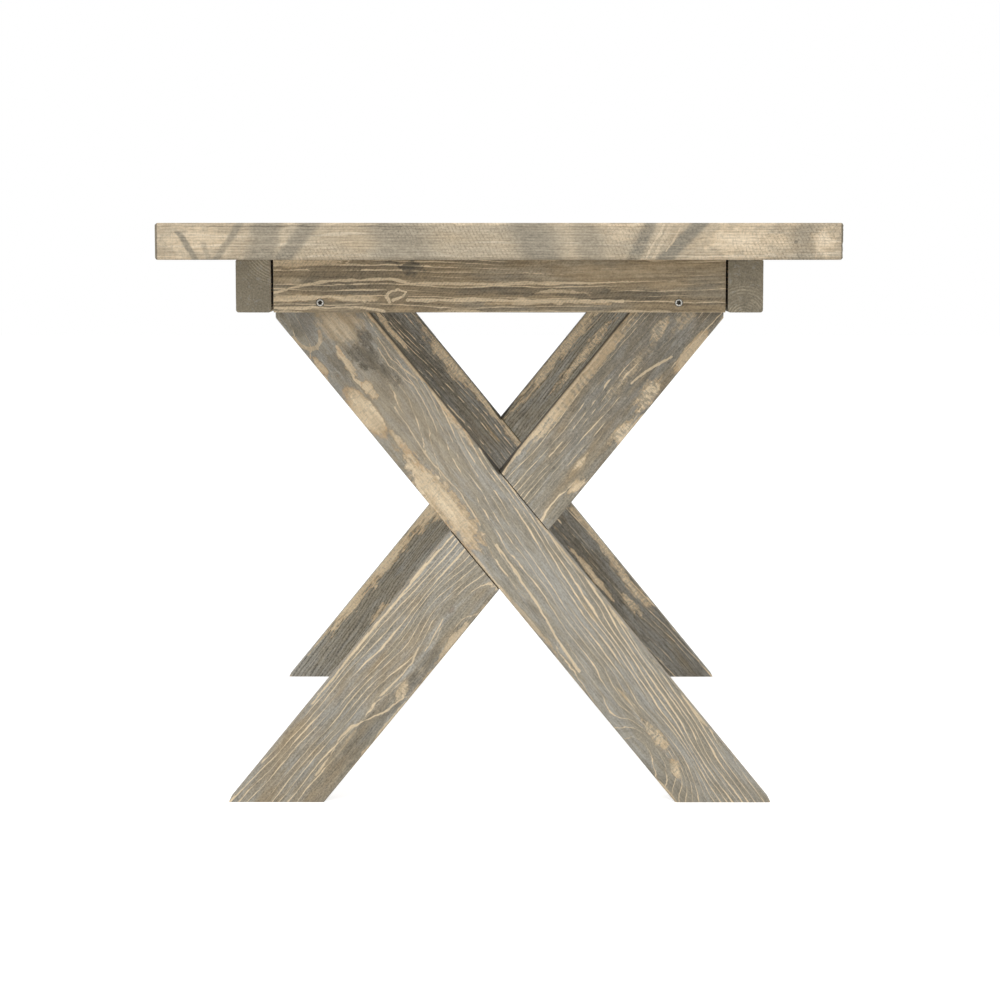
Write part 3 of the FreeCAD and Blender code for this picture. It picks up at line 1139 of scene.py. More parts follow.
        # Painted shade: the grime colour laid into the crotch of the half lap, where shade falls between the
        # legs.
        if grain.painted_side_shade:
            colour = colour.blended(rgba(self.look.grime), self.crotch() * crotch_shade_cover)
        if grain.bands:
            colour = colour.scaled(1.0 - self.banded * band_shade)
        if marks is not None:
            colour = colour.scaled(1.0 - marks * mark_shade)
        height = self.late * 0.5 + self.fibre * 0.5 + self.streaks * 0.5
        if marks is not None:
            height = height - marks * mark_depth
        feed(self.shader, {
            "Base Color": self.end_grain(self.knot_hearts(colour)),
            "Roughness": self.streaks * 0.14 + bare * 0.06 + 0.58,
            "Normal": bumped(height, 0.5, bump_height),
        })
        self.shader.inputs["Specular IOR Level"].default_value = 0.3
        return self.material


def zinc_finish():
    """Zinc plate: bright and a little cloudy, with fine scratches, and grime with painted shade in the
    recess and round the head.
    """
    look = bpy.context.scene.sawbuck_finish
    material, tree, shader = new_finish("zinc_plate")
    point = object_point(tree)
    cloud = noise_at(point.scaled(900.0), 3.0)
    scratch = noise_at(point.scaled(6000.0), 2.0)
    grime = new_term(tree, "ShaderNodeAttribute", output="Fac", attribute_name="grime")
    plate = rgb(tree, look.zinc).blended(rgba(look.zinc_dull), cloud.rise(0.35, 0.7))
    feed(shader, {
        "Base Color": plate.blended(rgba(look.grime), grime),
        "Roughness": (cloud * 0.2 + scratch * 0.12 + 0.3).larger(grime * 0.8),
        "Metallic": 1.0 - grime,
        "Normal": bumped(scratch, 0.2, 0.05 * MM),
    })
    return material


def beech_finish():
    """Plain turned beech with short dark flecks."""
    look = bpy.context.scene.sawbuck_finish
    material, tree, shader = new_finish("plain_beech")
    fleck = noise_at(object_point(tree).vector("MULTIPLY", (1400.0, 60.0, 1400.0)), 3.0)
    feed(shader, {
        "Base Color": rgb(tree, look.beech).blended(rgba(look.beech_fleck), fleck.rise(0.5, 0.75)),
        "Roughness": fleck * 0.2 + 0.55,
        "Normal": bumped(fleck, 0.3, 0.2 * MM),
    })
    return material


# Grain of each board

GRAINS = {
    "end_board_front": Grain(
        seed=1.0, pith=(160.0, -60.0), drift=(0.0, 0.004), ring_pitch=3.6, sway=8.0, swell=2.0,
        wobble=0.8, base_bare=0.51, arris_wear=7.0, line_width=1.0, line_strength=0.25, warmth=0.75,
        saw_marks=1.1, saw_lean=0.5, saw_rows=0.85, dark_ends=0.95, seen_on_edge=True, streaky=0.25,
        cream=0.45, brown=0.3,
        bands=[
            Band(-388, -0.6, 4, 0.85, 0.4, 12), Band(-334, 0.68, 4.5, 0.65, 0.5),
            Band(-290, 0.2, 18, 0.7, 0.5), Band(-250, 0.8, 12, 0.8, 0.5), Band(-120, -0.3, 36, 0.6, 0.6),
            Band(45, -0.4, 26, 0.8, 0.6), Band(110, -0.2, 16, 0.5, 0.6), Band(176, 0.5, 8, 0.9, 0.5),
            Band(226, 1.0, 11, 1.0, 0.4), Band(376, 0.1, 12, 0.45, 0.7), Band(-366, -0.4, 3, 0.4, 0.6, 0),
        ],
        patches=[
            Spot(-370, 0, 64, 26, 0.9, 0.6), Spot(-268, 4, 10, 16, 0.8, 0.5),
            Spot(300, 2, 84, 30, 1.0, 0.6, 0.8), Spot(150, 8, 20, 14, 0.8, 0.5),
            Spot(402, 0, 26, 30, 1.0, 0.6, 0.9), Spot(-190, -4, 40, 14, 0.5, 0.8),
            Spot(0, 22, 430, 2.6, 0.9, 0.4, 0.8),
        ],
        smudges=[
            Spot(365, -1, 3.4, 3.2, 1.0, 0.4, ragged=0.2), Spot(289, -4, 5, 5, 0.4),
            Spot(384, 2, 5, 12, 0.4, 0.6),
        ],
        strokes=[
            Stroke([(212, 20), (190, -20)], 2.0, 0.7), Stroke([(224, 16), (206, -12)], 0.9, 0.8, 0.4),
            Stroke([(203, 20), (181, -20)], 1.2, 0.8), Stroke([(392, -4), (389, -20)], 1.2, 0.8, 0.4),
        ],
        dark_strokes=[Stroke([(-360, 18), (-250, 19), (-120, 18.5)], 0.6, 0.7, 1.2)],
    ),
    "end_board_rear": Grain(
        seed=2.0, pith=(150.0, -70.0), ring_pitch=3.6, sway=10.0, swell=3.0, wobble=0.8, base_bare=0.45,
        line_width=1.0, line_strength=0.25, warmth=0.65, saw_marks=0.9, saw_lean=0.5, saw_rows=1.0,
        dark_ends=0.95, seen_on_edge=True, streaky=0.35,
        bands=[Band(-300, 0.7, 14, 0.8), Band(-90, -0.5, 30, 0.6), Band(210, 0.9, 18, 0.8)],
    ),
    "top_plank_1": Grain(seed=3.0, pith=(20.0, -90.0), ring_pitch=5.0, base_bare=0.45, sanding=0.05),
    "top_plank_2": Grain(seed=4.0, pith=(-50.0, -75.0), base_bare=0.5, sanding=0.06),
    "top_plank_3": Grain(seed=5.0, pith=(10.0, -100.0), ring_pitch=4.8, base_bare=0.42, sanding=0.04),
    "top_plank_4": Grain(seed=6.0, pith=(60.0, -80.0), ring_pitch=5.0, base_bare=0.48, sanding=0.05),
    "long_rail_left": Grain(
        seed=7.0, pith=(62.0, 40.0), drift=(0.0, 0.0), ring_pitch=3.4, sway=4.0, swell=2.0, tone=1.04,
        arcs_to=24,
    ),
    "long_rail_right": Grain(
        seed=8.0, pith=(-40.0, -2.0), drift=(0.0, 0.0), ring_pitch=3.6, sway=4.0, swell=2.0, tone=1.04,
        arcs_to=14,
    ),
    "cross_batten_front": Grain(seed=9.0),
    "cross_batten_rear": Grain(seed=10.0, pith=(25.0, -70.0)),
    "frame_cleat_front": Grain(
        seed=11.0, pith=(-85.0, -60.0), drift=(0.0, 0.0), ring_pitch=4.6, sway=16.0, swell=9.0,
        saw_marks=0.8, saw_lean=-0.8, warmth=0.7, brown=0.6, lines_kept=0.5, line_width=1.8,
        dark_lines=0.18,
        patches=[
            Spot(-255, 29, 60, 5.5), Spot(-190, -17, 40, 5.5), Spot(78, -8, 42, 3.5, 0.8),
            Spot(-272, 6, 24, 9, 0.5, 0.6), Spot(110, 18, 185, 17, 0.5, 0.9, 0.1),
            Spot(215, -2, 40, 8, 0.6, 0.6, 0.3), Spot(-270, -16, 30, 5), Spot(60, -22, 90, 3.5, 0.9),
            Spot(-128, -29, 15, 6, 0.6, 0.4, 0.0),
        ],
        calm=[
            Spot(-133, -9, 18, 13), Spot(150, 18, 150, 16, 0.9), Spot(120, -12, 110, 9, 0.8),
            Spot(-230, 12, 90, 14, 0.85),
        ],
        smudges=[
            Spot(-114, 23, 18, 11, 1.0, 0.3, ragged=1.3), Spot(-138, 28, 16, 4, 0.8, 0.4),
            Spot(150, -12, 100, 9, 0.65, 0.4), Spot(10, -7, 90, 7, 0.6, 0.4), Spot(-194, 0, 7, 4.5, 0.7),
            Spot(-120, -25, 30, 5, 0.5, 0.5), Spot(-190, 4, 120, 36, 0.45, 0.8),
        ],
        strokes=[
            Stroke([(-119, -19), (-40, -18), (40, -20), (160, -20)], 2.2, 1.0),
            Stroke([(-296, -10), (-260, -1), (-221, 6), (-143, 9), (-119, 3), (0, 2), (150, 4)], 1.7, 0.95),
            Stroke([(-296, -29), (-182, -28), (-150, -33)], 1.8, 1.0),
            Stroke([(-296, -20), (-250, -16), (-221, -14), (-182, -19)], 2.0, 1.0),
            Stroke(
                [(-143, -21), (-147, -14), (-144, -9), (-132, -5), (-121, -8), (-126, -14), (-138, -19)],
                1.9, 1.0, 1.2,
            ),
        ],
        dark_strokes=[
            Stroke([(54, 33), (54, 3)], 0.5, 0.5, 1.4), Stroke([(67, 33), (67, 3)], 0.5, 0.5, 1.4),
        ],
    ),
    "frame_cleat_rear": Grain(
        seed=12.0, pith=(-90.0, -60.0), saw_marks=0.7, saw_lean=-0.8, warmth=0.8, lines_kept=0.7,
        dark_lines=0.12,
    ),
    "front_leg_outer_lap": Grain(
        seed=13.0, pith=(-54.0, -87.0), drift=(-0.1, 0.0), ring_pitch=4.6, swell=9.0, lines_kept=0.85,
        line_width=1.9, dark_lines=0.1, painted_side_shade=0.9, warm_rims=0.6, brown=0.12,
        knots=[Spot(-295, -35, 9, 7, 4.0)],
        bulges=[Spot(-290, 10, 90, 60, -12.0), Spot(372, -34, 40, 24, -14.0)],
        calm=[
            Spot(-330, 6, 110, 56), Spot(-210, -30, 120, 38), Spot(-60, -36, 110, 30),
            Spot(110, -40, 90, 16), Spot(364, -28, 50, 22, 0.7), Spot(110, -24, 110, 7),
            Spot(240, -16, 260, 32, 0.42),
        ],
        dashed=[Spot(-60, 14, 150, 50, 0.85)],
        patches=[
            Spot(-200, 0, 220, 70, 0.22, 0.9, 0.0), Spot(-352, 14, 48, 34, 0.7, 0.5, 0.0),
            Spot(-235, -37, 48, 16, ragged=0.4), Spot(-318, -46, 20, 5),
            Spot(-78, -33, 94, 19, 0.95, 0.3, 0.7), Spot(-135, 45, 50, 5, 0.8, 0.5, 0.9, 0.5),
            Spot(-168, -28, 34, 6, 0.8), Spot(-220, 6, 16, 5, 0.4, 0.6),
            Spot(-254, -14, 16, 7, ragged=1.4), Spot(-300, -15, 26, 5, 0.9, ragged=1.8),
            Spot(-240, 48, 140, 3.5), Spot(120, -47, 60, 3, 0.6),
            Spot(350, -12, 34, 9, 1.0, 0.4, 0.6, 0.85), Spot(395, -20, 14, 9, 1.0, 0.4, 0.6, 0.6),
        ],
        smudges=[
            Spot(-311, 24, 17, 11, 0.8, 0.4, ragged=1.8), Spot(-288, 12, 28, 18, 0.9, 0.5, ragged=1.9),
            Spot(-260, 19, 30, 13, 0.75, 0.6, ragged=2.2), Spot(-303, 0, 15, 9, 0.75, 0.4, ragged=1.8),
            Spot(-375, -30, 24, 22, 0.5, 0.7), Spot(-308, -24, 28, 10, 0.6, 0.5, ragged=1.8),
        ],
        strokes=[
            Stroke(
                [(-372, -49), (-356, -47), (-345, -41), (-340, -33), (-344, -24), (-356, -16)],
                2.4, 0.65, 2.2,
            ),
            Stroke([(-216, -3), (-179, -7), (-132, -12), (-73, -8), (-23, -15)], 0.9, 0.8),
            Stroke([(12, -15), (50, -18), (89, -21), (125, -26), (161, -32), (214, -37)], 1.6),
            Stroke([(-300, 38), (-270, 34), (-225, 43)], 0.7),
            Stroke([(-290, 30), (-262, 26), (-215, 36)], 0.6),
            Stroke([(-325, -11), (-296, -16), (-277, -21), (-256, -15)], 2.2, 0.95, 2.6),
        ],
    ),
    "front_leg_inner_lap": Grain(
        seed=14.0, pith=(66.0, -82.0), drift=(-0.03, 0.0), ring_pitch=4.4, swell=9.0, lines_kept=0.8,
        line_width=1.7, dark_lines=0.1, painted_side_shade=0.9, combed=0.7, coarse=1.25, brown=0.38, tone=0.97,
        streaky=0.6,
        knots=[Spot(123, 18, 22, 13, 0.0)],
        bulges=[Spot(123, 20, 36, 24, -8.0)],
        calm=[
            Spot(-330, 10, 70, 50, 0.8), Spot(-230, -44, 110, 12), Spot(320, 38, 110, 22),
            Spot(200, 36, 60, 16), Spot(-250, 30, 80, 20), Spot(123, 20, 34, 22, 0.85),
        ],
        dashed=[Spot(-200, 10, 190, 60, 0.85)],
        patches=[
            Spot(-346, 45, 40, 9, 1.0, 0.12, ragged=0.5), Spot(-264, 37, 26, 11, 1.0, 0.2, 0.9, 0.7),
            Spot(-206, 44, 26, 10, 1.0, 0.2, 0.9, 0.6), Spot(-113, 41, 20, 6),
            Spot(-340, -6, 24, 7, 0.9, 0.2, 0.9, 0.7), Spot(-138, 27, 14, 4, 0.9, 0.3, 0.9, 0.4),
            Spot(252, 36, 18, 8, 0.9, 0.3, 0.6, 0.5), Spot(150, 46, 40, 4, 0.8),
            Spot(-380, 10, 40, 12, 0.8, 0.6, 0.8, 0.7), Spot(-200, -48, 190, 3.5),
            Spot(-270, 0, 60, 9, 0.7, 0.6, 0.8, 0.8), Spot(250, 49, 190, 2.2, 0.8, 0.4),
        ],
        chatter=[Spot(-226, -41, 120, 9, 1.0, 0.4)],
        smudges=[
            Spot(-260, 5, 220, 80, 0.42, 0.9), Spot(190, 38, 36, 12, 0.45, 0.5),
            Spot(330, 36, 70, 18, 0.45, 0.5), Spot(-400, 20, 30, 40, 0.5, 0.6),
            Spot(250, 40, 50, 12, 0.5, 0.4),
        ],
        strokes=[
            Stroke([(70, -46), (215, -47), (340, -47)], 1.3),
            Stroke([(-262, 10), (-285, 16), (-300, 20), (-323, 29)], 1.2, 0.95, 2.0),
            Stroke(
                [(256, 42), (282, 37), (306, 26), (331, 14), (355, 11), (379, 17), (413, 17)],
                1.2, 0.9, 1.8,
            ),
            Stroke([(140, 17), (187, 25)], 0.9),
            Stroke([(190, 15), (212, 22), (239, 21), (273, 17)], 1.2, 0.9, 1.4),
        ],
    ),
    # Rear legs: their bare wood is brightened as painted light, against the shade they stand in.
    "rear_leg_outer_lap": Grain(
        seed=15.0, pith=(-80.0, -60.0), ring_pitch=2.8, swell=10.0, warmth=0.5, brown=0.2, tone=1.30,
        lines_kept=0.1, line_width=1.2, dark_lines=0.35, painted_side_shade=0.9, combed=1.7, coarse=1.35,
        fray=0.6, bare_painted_light=1.25,
        dashed=[Spot(0, 0, 500, 90)],
        patches=[
            Spot(250, -44, 80, 13, 1.0, 0.2, 0.9), Spot(140, -43, 60, 17, 1.0, 0.2, 0.9),
            Spot(350, -45, 70, 10, 1.0, 0.2, 0.9), Spot(-220, -44, 150, 12, 1.0, 0.3, 0.9, 0.4),
            Spot(-240, -10, 90, 9, 1.0, 0.3, 0.9, 0.6), Spot(-330, 20, 40, 9, 1.0, 0.3, 0.9, 0.6),
            Spot(330, 0, 30, 5), Spot(-160, 30, 60, 6, 1.0, 0.3, 0.9, 0.5),
        ],
    ),
    "rear_leg_inner_lap": Grain(
        seed=16.0, pith=(-80.0, -62.0), drift=(0.06, 0.0), ring_pitch=4.4, warmth=0.45, brown=0.3,
        tone=0.95, lines_kept=0.4, line_width=2.0, dark_lines=0.2, painted_side_shade=0.9, combed=1.0, coarse=1.4,
        fray=0.9, bare_painted_light=1.25,
        dashed=[Spot(0, 0, 500, 90)],
        calm=[Spot(320, 10, 140, 40, 0.6)],
        patches=[
            Spot(-120, 47, 170, 8, 1.0, 0.3, 0.9, 0.3), Spot(300, 42, 60, 10, 1.0, 0.3, 0.9, 0.4),
            Spot(200, 46, 100, 7, 1.0, 0.3, 0.9, 0.3), Spot(-200, 40, 60, 10, 1.0, 0.3, 0.9, 0.4),
            Spot(240, 0, 60, 5), Spot(-300, 0, 60, 5), Spot(330, 20, 30, 8, 1.0, 0.3, 0.9, 0.5),
        ],
        smudges=[Spot(-250, 0, 160, 34, 0.5, 0.5), Spot(200, 0, 160, 34, 0.5, 0.5)],
    ),
}


# Legs

@dataclass
class LegOutline:
    """A leg's outline, read from its CAD solid."""
    tip: float
    foot_inner: float
    foot_outer: float
    corner_height: float
    top: float
    lean: int
    outer_face: float
    inner_face: float

    @property
    def slope(self):
        return math.atan2(self.corner_height, self.foot_inner + self.tip)

    @property
    def width(self):
        return (self.foot_outer - self.foot_inner) * math.sin(self.slope)

    @property
    def crossing(self):
        return (self.foot_inner + self.foot_outer) / 2 * math.tan(self.slope)


def leg_outline(node):
    """Reads a leg's outline: its foot stands on the floor on one side, its upright cut is on the other."""
    points = [vertex.co for vertex in frame["nodes"][node].data.vertices]
    low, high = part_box(node)
    near = 0.1 * MM
    foot = [p.x for p in points if p.z < low[2] + near]
    lean = -1 if sum(foot) > 0 else 1
    tip = max(lean * p.x for p in points)
    corner = min(p.z for p in points if lean * p.x > tip - near)
    foot_sides = sorted(-lean * x for x in foot)
    return LegOutline(tip, foot_sides[0], foot_sides[-1], corner, high[2], lean, low[1], high[1])


def leg_timber(node):
    outline = leg_outline(node)
    slope = outline.slope
    along = Vector((-outline.lean * math.cos(slope), 0, -math.sin(slope)))
    across = Vector((math.sin(slope), 0, -outline.lean * math.cos(slope)))
    centre = Vector((0, (outline.outer_face + outline.inner_face) / 2, outline.crossing))
    length = 2 * (outline.foot_outer / math.cos(slope))
    thickness = outline.inner_face - outline.outer_face
    return outline, Timber(node, centre, along, across, length, outline.width, thickness, GRAINS[node])


def notch_mesh(outline, front_half):
    """The half of the lap that is cut out of a leg: a slab along the other leg."""
    gap = bpy.context.scene.sawbuck_table.lap_gap
    middle = (outline.outer_face + outline.inner_face) / 2
    spare = 2 * MM
    slab_length = 3 * outline.width
    ends = (outline.outer_face - spare, middle) if front_half else (middle, outline.inner_face + spare)
    slope = outline.slope
    along = Vector((outline.lean * math.cos(slope), 0, -math.sin(slope)))
    across = Vector((math.sin(slope), 0, outline.lean * math.cos(slope)))
    turn = Matrix((along, across, along.cross(across))).transposed().to_4x4()
    shape = bmesh.new()
    bmesh.ops.create_cube(shape, size=1.0)
    sizes = Matrix.Diagonal((slab_length, outline.width + 2 * gap, ends[1] - ends[0], 1.0))
    place = Matrix.Translation((0, sum(ends) / 2, outline.crossing))
    bmesh.ops.transform(shape, matrix=place @ turn @ sizes, verts=shape.verts[:])
    return mesh_of(shape, "notch")


def build_leg(node, front_half_cut):
    """A leg: a long board, cut level at floor and top and upright at the rail, and notched."""
    outline, timber = leg_timber(node)
    sizes = bpy.context.scene.sawbuck_table
    material = WashedTimber(timber).built()
    spare_length = 100 * MM
    mesh = board_mesh(timber, material, sizes.arris, sizes.end_arris, extra_length=spare_length)
    cut_square(mesh, (0, 0, 0), (0, 0, -1))
    cut_square(mesh, (0, 0, outline.top), (0, 0, 1))
    cut_square(mesh, (outline.lean * outline.tip, 0, 0), (outline.lean, 0, 0))
    mesh = carved(mesh, [notch_mesh(outline, front_half_cut)] + holes_near(node))
    finish_piece(mesh, timber.slot, node)


def holes_near(node):
    """Holes of the screws and dowels that pass through a CAD node's box."""
    low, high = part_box(node)
    reach = 4 * MM
    found = []
    for group in (*SCREW_NODES, DOWEL_NODE):
        for pin in screws_of(group):
            ends = (pin.head, pin.head + pin.way_in * pin.length)
            spans = [(min(end[side] for end in ends), max(end[side] for end in ends)) for side in range(3)]
            if all(s[0] < h + reach and s[1] > b - reach for s, h, b in zip(spans, high, low)):
                found.append(dowel_hole_mesh(pin) if group == DOWEL_NODE else hole_mesh(pin))
    return found


def build_boards(nodes, along, across, arris, end_arris, slot=FRAME_SLOT, ragged_end=0.0):
    """The boards of some CAD nodes, with their holes."""
    for node in nodes:
        timber = timber_in_box(node, along, across, slot)
        mesh = board_mesh(timber, WashedTimber(timber).built(), arris, end_arris, ragged_end)
        finish_piece(carved(mesh, holes_near(node)), slot, node)


# What a user would change

def sized(name, description, default, low, high):
    """A length that a user may change, with its default and limits in millimetres."""
    return FloatProperty(
        name=name, description=description, default=default * MM, min=low * MM, max=high * MM,
        unit="LENGTH",
    )


def coloured(name, description, red, green, blue):
    """A colour that a user may change, with its default in the usual 0 to 255 steps."""
    return FloatVectorProperty(
        name=name, description=description, default=linear(red, green, blue), min=0.0, max=1.0,
        size=3, subtype="COLOR",
    )


class SawbuckTableSizes(bpy.types.PropertyGroup):
    """Sizes of the table's timber and screws that the CAD model leaves to the finish."""
    arris: sized("Arris Radius", "Rounding of the long edges of the frame's timber", 2.2, 0.5, 6)
    top_arris: sized("Top Arris Radius", "Rounding of the edges of the top's boards", 3.5, 0.5, 8)
    end_arris: sized("End Arris Radius", "Rounding of the sawn ends", 0.8, 0.2, 6)
    face_unevenness: sized("Face Unevenness", "Depth of the slow waves left by planing", 0.5, 0, 3)
    arris_unevenness: sized("Arris Unevenness", "Depth of the dents and wear on the arrises", 1.0, 0, 4)
    ragged_end: sized("Ragged End", "Depth of the chips in the front end board's rough end", 1.6, 0, 10)
    lap_gap: sized("Lap Gap", "Gap at the shoulders of the half laps", 0.9, 0.1, 3)
    cell_length: sized("Cell Length", "Spacing of the mesh along a board", 10, 2, 50)
    cell_width: sized("Cell Width", "Spacing of the mesh across a board", 8, 2, 50)
    screw_head: sized("Screw Head", "Diameter of the screws' heads", 9.8, 4, 20)
    screw_shank: sized("Screw Shank", "Outer diameter of the screws' threads", 5, 2, 10)
    recess: sized("Recess", "Diameter of the six-lobed recess in the screws' heads", 6, 2, 8)
    hole_mouth: sized("Hole Mouth", "How far the screw holes' mouths reach above the heads", 20, 2, 50)
    dowel: sized("Dowel", "Diameter of the dowels", 9.9, 4, 20)
    dowel_flutes: IntProperty(
        name="Dowel Flutes", description="Grooves round each dowel", default=18, min=6, max=40,
    )


class SawbuckFinish(bpy.types.PropertyGroup):
    """Colours of the wash, the bare wood, the screws and the dowels, and the strength of the sanding."""
    wash_cool: coloured("Cool Wash", "The grey wash where it lies thick", 165, 161, 151)
    wash_warm: coloured("Warm Wash", "The grey wash where the wood shows through", 154, 146, 129)
    # Dark wash: smudges of the wash, and painted shade on the legs' narrow sides.
    wash_dark_and_shade: coloured("Dark Wash", "Smudges of the wash", 104, 98, 85)
    wash_brown: coloured("Brown Wash", "The wash where it has soaked into darker wood", 164, 146, 117)
    bare_wood: coloured("Bare Wood", "Wood sanded bare", 188, 165, 131)
    bare_pale: coloured("Pale Wood", "Wood sanded bare, at its palest", 230, 211, 179)
    bare_cream: coloured("Cream Wood", "Sapwood sanded bare, at its palest", 229, 215, 194)
    bare_warm: coloured("Warm Wood", "Wood at the rims of the sanded patches", 190, 152, 108)
    knot: coloured("Knot", "Heart of a knot", 126, 100, 74)
    end_grain: coloured("End Grain", "Washed end grain", 148, 139, 120)
    zinc: coloured("Zinc", "Bright zinc plate", 178, 175, 168)
    zinc_dull: coloured("Dull Zinc", "Cloudy zinc plate", 128, 126, 119)
    # Grime colour: dirt together with painted shade, between the legs and in and round the screws' heads.
    grime: coloured("Grime", "Dirt between the legs, and in and round the screws' heads", 52, 47, 38)
    beech: coloured("Beech", "The dowels' wood", 204, 170, 126)
    beech_fleck: coloured("Beech Fleck", "Flecks in the dowels' wood", 160, 116, 76)
    sanding_strength: FloatProperty(
        name="Sanding", description="How much of the wash the sanding takes off", default=1.0, min=0.0,
        max=1.0, subtype="FACTOR",
    )


# Operators, one for each group of like pieces

class TABLE_OT_prepare(bpy.types.Operator):
    """Build the node trees that the pieces share"""
    bl_idname = "table.prepare"
    bl_label = "Node Trees"

    def execute(self, context):
        board_tree()
        scatter_tree()
        return {"FINISHED"}


class TABLE_OT_top_planks(bpy.types.Operator):
    """Build the long planks of the top"""
    bl_idname = "table.top_planks"
    bl_label = "Top Planks"

    def execute(self, context):
        sizes = context.scene.sawbuck_table
        build_boards(PLANKS, (0, 1, 0), (-1, 0, 0), sizes.top_arris, sizes.end_arris, TOP_SLOT)
        return {"FINISHED"}


class TABLE_OT_end_boards(bpy.types.Operator):
    """Build the boards across the ends of the top"""
    bl_idname = "table.end_boards"
    bl_label = "End Boards"

    def execute(self, context):
        sizes = context.scene.sawbuck_table
        arris = sizes.top_arris
        for node, way, ragged_end in (("end_board_front", 1, sizes.ragged_end), ("end_board_rear", -1, 0)):
            build_boards((node,), (way, 0, 0), (0, way, 0), arris, arris, TOP_SLOT, ragged_end)
        return {"FINISHED"}


class TABLE_OT_long_rails(bpy.types.Operator):
    """Build the two rails under the top"""
    bl_idname = "table.long_rails"
    bl_label = "Long Rails"

    def execute(self, context):
        sizes = context.scene.sawbuck_table
        nodes = ("long_rail_left", "long_rail_right")
        build_boards(nodes, (0, 1, 0), (0, 0, 1), sizes.top_arris, sizes.end_arris)
        return {"FINISHED"}


class TABLE_OT_cross_battens(bpy.types.Operator):
    """Build the two battens under the planks"""
    bl_idname = "table.cross_battens"
    bl_label = "Cross Battens"

    def execute(self, context):
        sizes = context.scene.sawbuck_table
        nodes = ("cross_batten_front", "cross_batten_rear")
        build_boards(nodes, (1, 0, 0), (0, 1, 0), sizes.arris, sizes.end_arris)
        return {"FINISHED"}


class TABLE_OT_frame_cleats(bpy.types.Operator):
    """Build the cleats across the X frames"""
    bl_idname = "table.frame_cleats"
    bl_label = "Frame Cleats"

    def execute(self, context):
        sizes = context.scene.sawbuck_table
        nodes = ("frame_cleat_front", "frame_cleat_rear")
        build_boards(nodes, (1, 0, 0), (0, 0, 1), sizes.arris, sizes.end_arris)
        return {"FINISHED"}


class TABLE_OT_legs(bpy.types.Operator):
    """Build the four legs with their half laps"""
    bl_idname = "table.legs"
    bl_label = "Legs"

    def execute(self, context):
        build_leg("front_leg_outer_lap", front_half_cut=False)
        build_leg("front_leg_inner_lap", front_half_cut=True)
        build_leg("rear_leg_outer_lap", front_half_cut=True)
        build_leg("rear_leg_inner_lap", front_half_cut=False)
        return {"FINISHED"}


class TABLE_OT_screws(bpy.types.Operator):
    """Build every group of screws"""
    bl_idname = "table.screws"
    bl_label = "Screws"

    def execute(self, context):
        material = zinc_finish()
        turned_on = 0.7
        for group in SCREW_NODES:
            screws = screws_of(group)
            places = [(pin.head, -pin.way_in, turned_on * number) for number, pin in enumerate(screws)]
            mesh = scattered(group, screw_mesh(screws[0].length), places, material)
            finish_piece(mesh, SCREW_SLOT, group)
        return {"FINISHED"}


class TABLE_OT_dowels(bpy.types.Operator):
    """Build the dowels between the planks and the end boards"""
    bl_idname = "table.dowels"
    bl_label = "Dowels"

    def execute(self, context):
        dowels = screws_of(DOWEL_NODE)
        turned_on = 0.4
        places = [(pin.head, -pin.way_in, turned_on * number) for number, pin in enumerate(dowels)]
        mesh = scattered(DOWEL_NODE, dowel_mesh(dowels[0]), places, beech_finish())
        finish_piece(mesh, DOWEL_SLOT, DOWEL_NODE)
        return {"FINISHED"}


class TABLE_OT_stage(bpy.types.Operator):
    """Build the floor, the lights and the camera"""
    bl_idname = "table.stage"
    bl_label = "Stage"

    def execute(self, context):
        build_floor()
        build_world()
        build_lights()
        build_camera()
        context.scene.view_settings.view_transform = "Standard"
        return {"FINISHED"}


# Stage

def seen_directly(tree):
    """1 where the camera, a reflection or a view through glass looks, and 0 for all other light."""
    path = add_node(tree, "ShaderNodeLightPath")
    kinds = ("Is Camera Ray", "Is Glossy Ray", "Is Transmission Ray")
    camera, glossy, through_glass = [Term(tree, path.outputs[kind]) for kind in kinds]
    return camera.larger(glossy).larger(through_glass)


def build_floor():
    """A wide pale floor that the camera sees as white."""
    reach = 14.0
    glow_strength = 0.75
    pale = (0.7, 0.7, 0.7, 1.0)
    mesh = bpy.data.meshes.new("floor")
    corners = [(-reach, -reach, 0), (reach, -reach, 0), (reach, reach, 0), (-reach, reach, 0)]
    mesh.from_pydata(corners, [], [(0, 1, 2, 3)])
    material = bpy.data.materials.new("pale_floor")
    material.use_nodes = True
    tree = material.node_tree
    tree.nodes.clear()
    matt = new_term(tree, "ShaderNodeBsdfDiffuse", {"Color": pale})
    strength = seen_directly(tree) * glow_strength
    glow = new_term(tree, "ShaderNodeEmission", {"Color": WHITE, "Strength": strength})
    both = new_term(tree, "ShaderNodeAddShader", {0: matt, 1: glow})
    add_node(tree, "ShaderNodeOutputMaterial", {"Surface": both})
    mesh.materials.append(material)
    floor = bpy.data.objects.new("floor", mesh)
    bpy.context.scene.collection.objects.link(floor)


def build_world():
    """White behind the object, and an even soft light from all round."""
    world = bpy.data.worlds.new("studio")
    bpy.context.scene.world = world
    world.use_nodes = True
    tree = world.node_tree
    tree.nodes.clear()
    ambient = 0.6
    strength = seen_directly(tree) * (1.0 - ambient) + ambient
    sky = new_term(tree, "ShaderNodeBackground", {"Color": WHITE, "Strength": strength})
    add_node(tree, "ShaderNodeOutputWorld", {"Surface": sky})


def softbox(name, place, target, size, power):
    """A square lamp that looks from its place towards its target."""
    lamp = bpy.data.lights.new(name, "AREA")
    lamp.shape = "SQUARE"
    lamp.size = size
    lamp.energy = power
    lamp_object = bpy.data.objects.new(name, lamp)
    lamp_object.location = place
    heading = Vector(target) - Vector(place)
    lamp_object.rotation_euler = heading.to_track_quat("-Z", "Y").to_euler()
    bpy.context.scene.collection.objects.link(lamp_object)


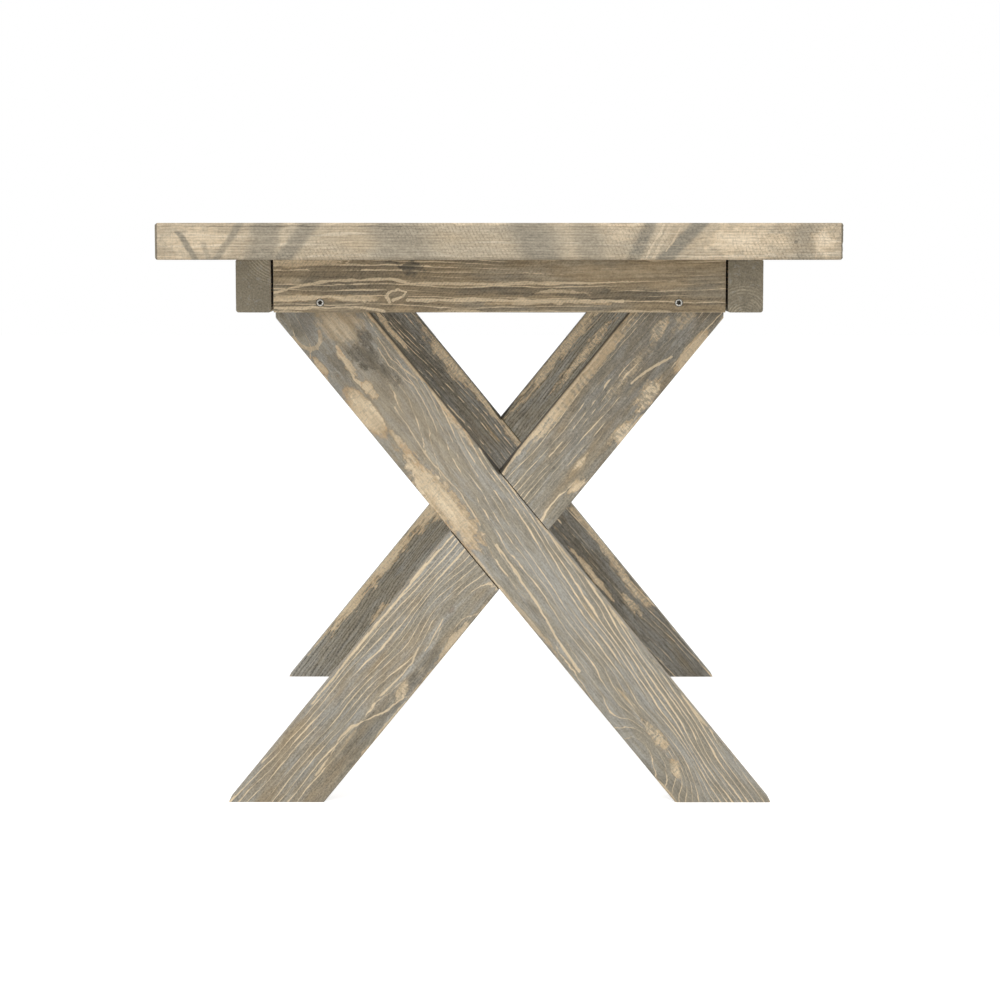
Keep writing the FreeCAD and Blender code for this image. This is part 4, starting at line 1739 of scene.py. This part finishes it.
def build_lights():
    """A softbox behind the camera, one high in front and a weak one over the top."""
    front = (0, -0.5, 0.4)
    tabletop = (0, 0, 0.7)
    softbox("low_softbox", (0.0, -6.0, 0.9), front, size=2.4, power=46)
    softbox("high_softbox", (-0.8, -4.6, 5.0), front, size=2.6, power=155)
    softbox("top_softbox", (0.4, 0.6, 3.2), tabletop, size=2.2, power=27)


def build_camera():
    """A camera at the end of the table, at the height of its top, tipped down to hold the whole table."""
    front_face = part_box("front_leg_outer_lap")[0][1]
    distance = 3.2941
    aside = 0.0082
    eye_height = 0.7686
    tipped_down = math.radians(6.2246)
    turned_left = math.radians(0.132)
    focal_pixels = 2495.3
    picture = 1000.0
    camera = bpy.data.cameras.new("camera")
    camera.sensor_width = 36.0
    camera.lens = focal_pixels * camera.sensor_width / picture
    camera.clip_start = 0.05
    camera.clip_end = 100.0
    camera_object = bpy.data.objects.new("camera", camera)
    camera_object.location = (aside, front_face - distance, eye_height)
    camera_object.rotation_euler = (math.radians(90) - tipped_down, 0, turned_left)
    bpy.context.scene.collection.objects.link(camera_object)
    bpy.context.scene.camera = camera_object


PIECE_OPERATORS = (
    TABLE_OT_prepare,
    TABLE_OT_top_planks,
    TABLE_OT_end_boards,
    TABLE_OT_long_rails,
    TABLE_OT_cross_battens,
    TABLE_OT_frame_cleats,
    TABLE_OT_legs,
    TABLE_OT_screws,
    TABLE_OT_dowels,
    TABLE_OT_stage,
)


class TABLE_PT_panel(bpy.types.Panel):
    """Lists the pieces of the table and their settings"""
    bl_idname = "TABLE_PT_panel"
    bl_label = "Sawbuck Table"
    bl_space_type = "VIEW_3D"
    bl_region_type = "UI"
    bl_category = "Table"

    def draw(self, context):
        for group in (context.scene.sawbuck_table, context.scene.sawbuck_finish):
            box = self.layout.box()
            for name in group.__annotations__:
                box.prop(group, name)
        for operator in PIECE_OPERATORS:
            self.layout.operator(operator.bl_idname)


CLASSES = (SawbuckTableSizes, SawbuckFinish, *PIECE_OPERATORS, TABLE_PT_panel)


def register():
    for kind in CLASSES:
        bpy.utils.register_class(kind)
    bpy.types.Scene.sawbuck_table = PointerProperty(type=SawbuckTableSizes)
    bpy.types.Scene.sawbuck_finish = PointerProperty(type=SawbuckFinish)


def unregister():
    del bpy.types.Scene.sawbuck_finish
    del bpy.types.Scene.sawbuck_table
    for kind in reversed(CLASSES):
        bpy.utils.unregister_class(kind)


def main():
    register()
    bpy.ops.table.prepare()
    bpy.ops.table.top_planks()
    bpy.ops.table.end_boards()
    bpy.ops.table.long_rails()
    bpy.ops.table.cross_battens()
    bpy.ops.table.frame_cleats()
    bpy.ops.table.legs()
    bpy.ops.table.screws()
    bpy.ops.table.dowels()
    bpy.ops.table.stage()


if __name__ == "__main__":
    main()
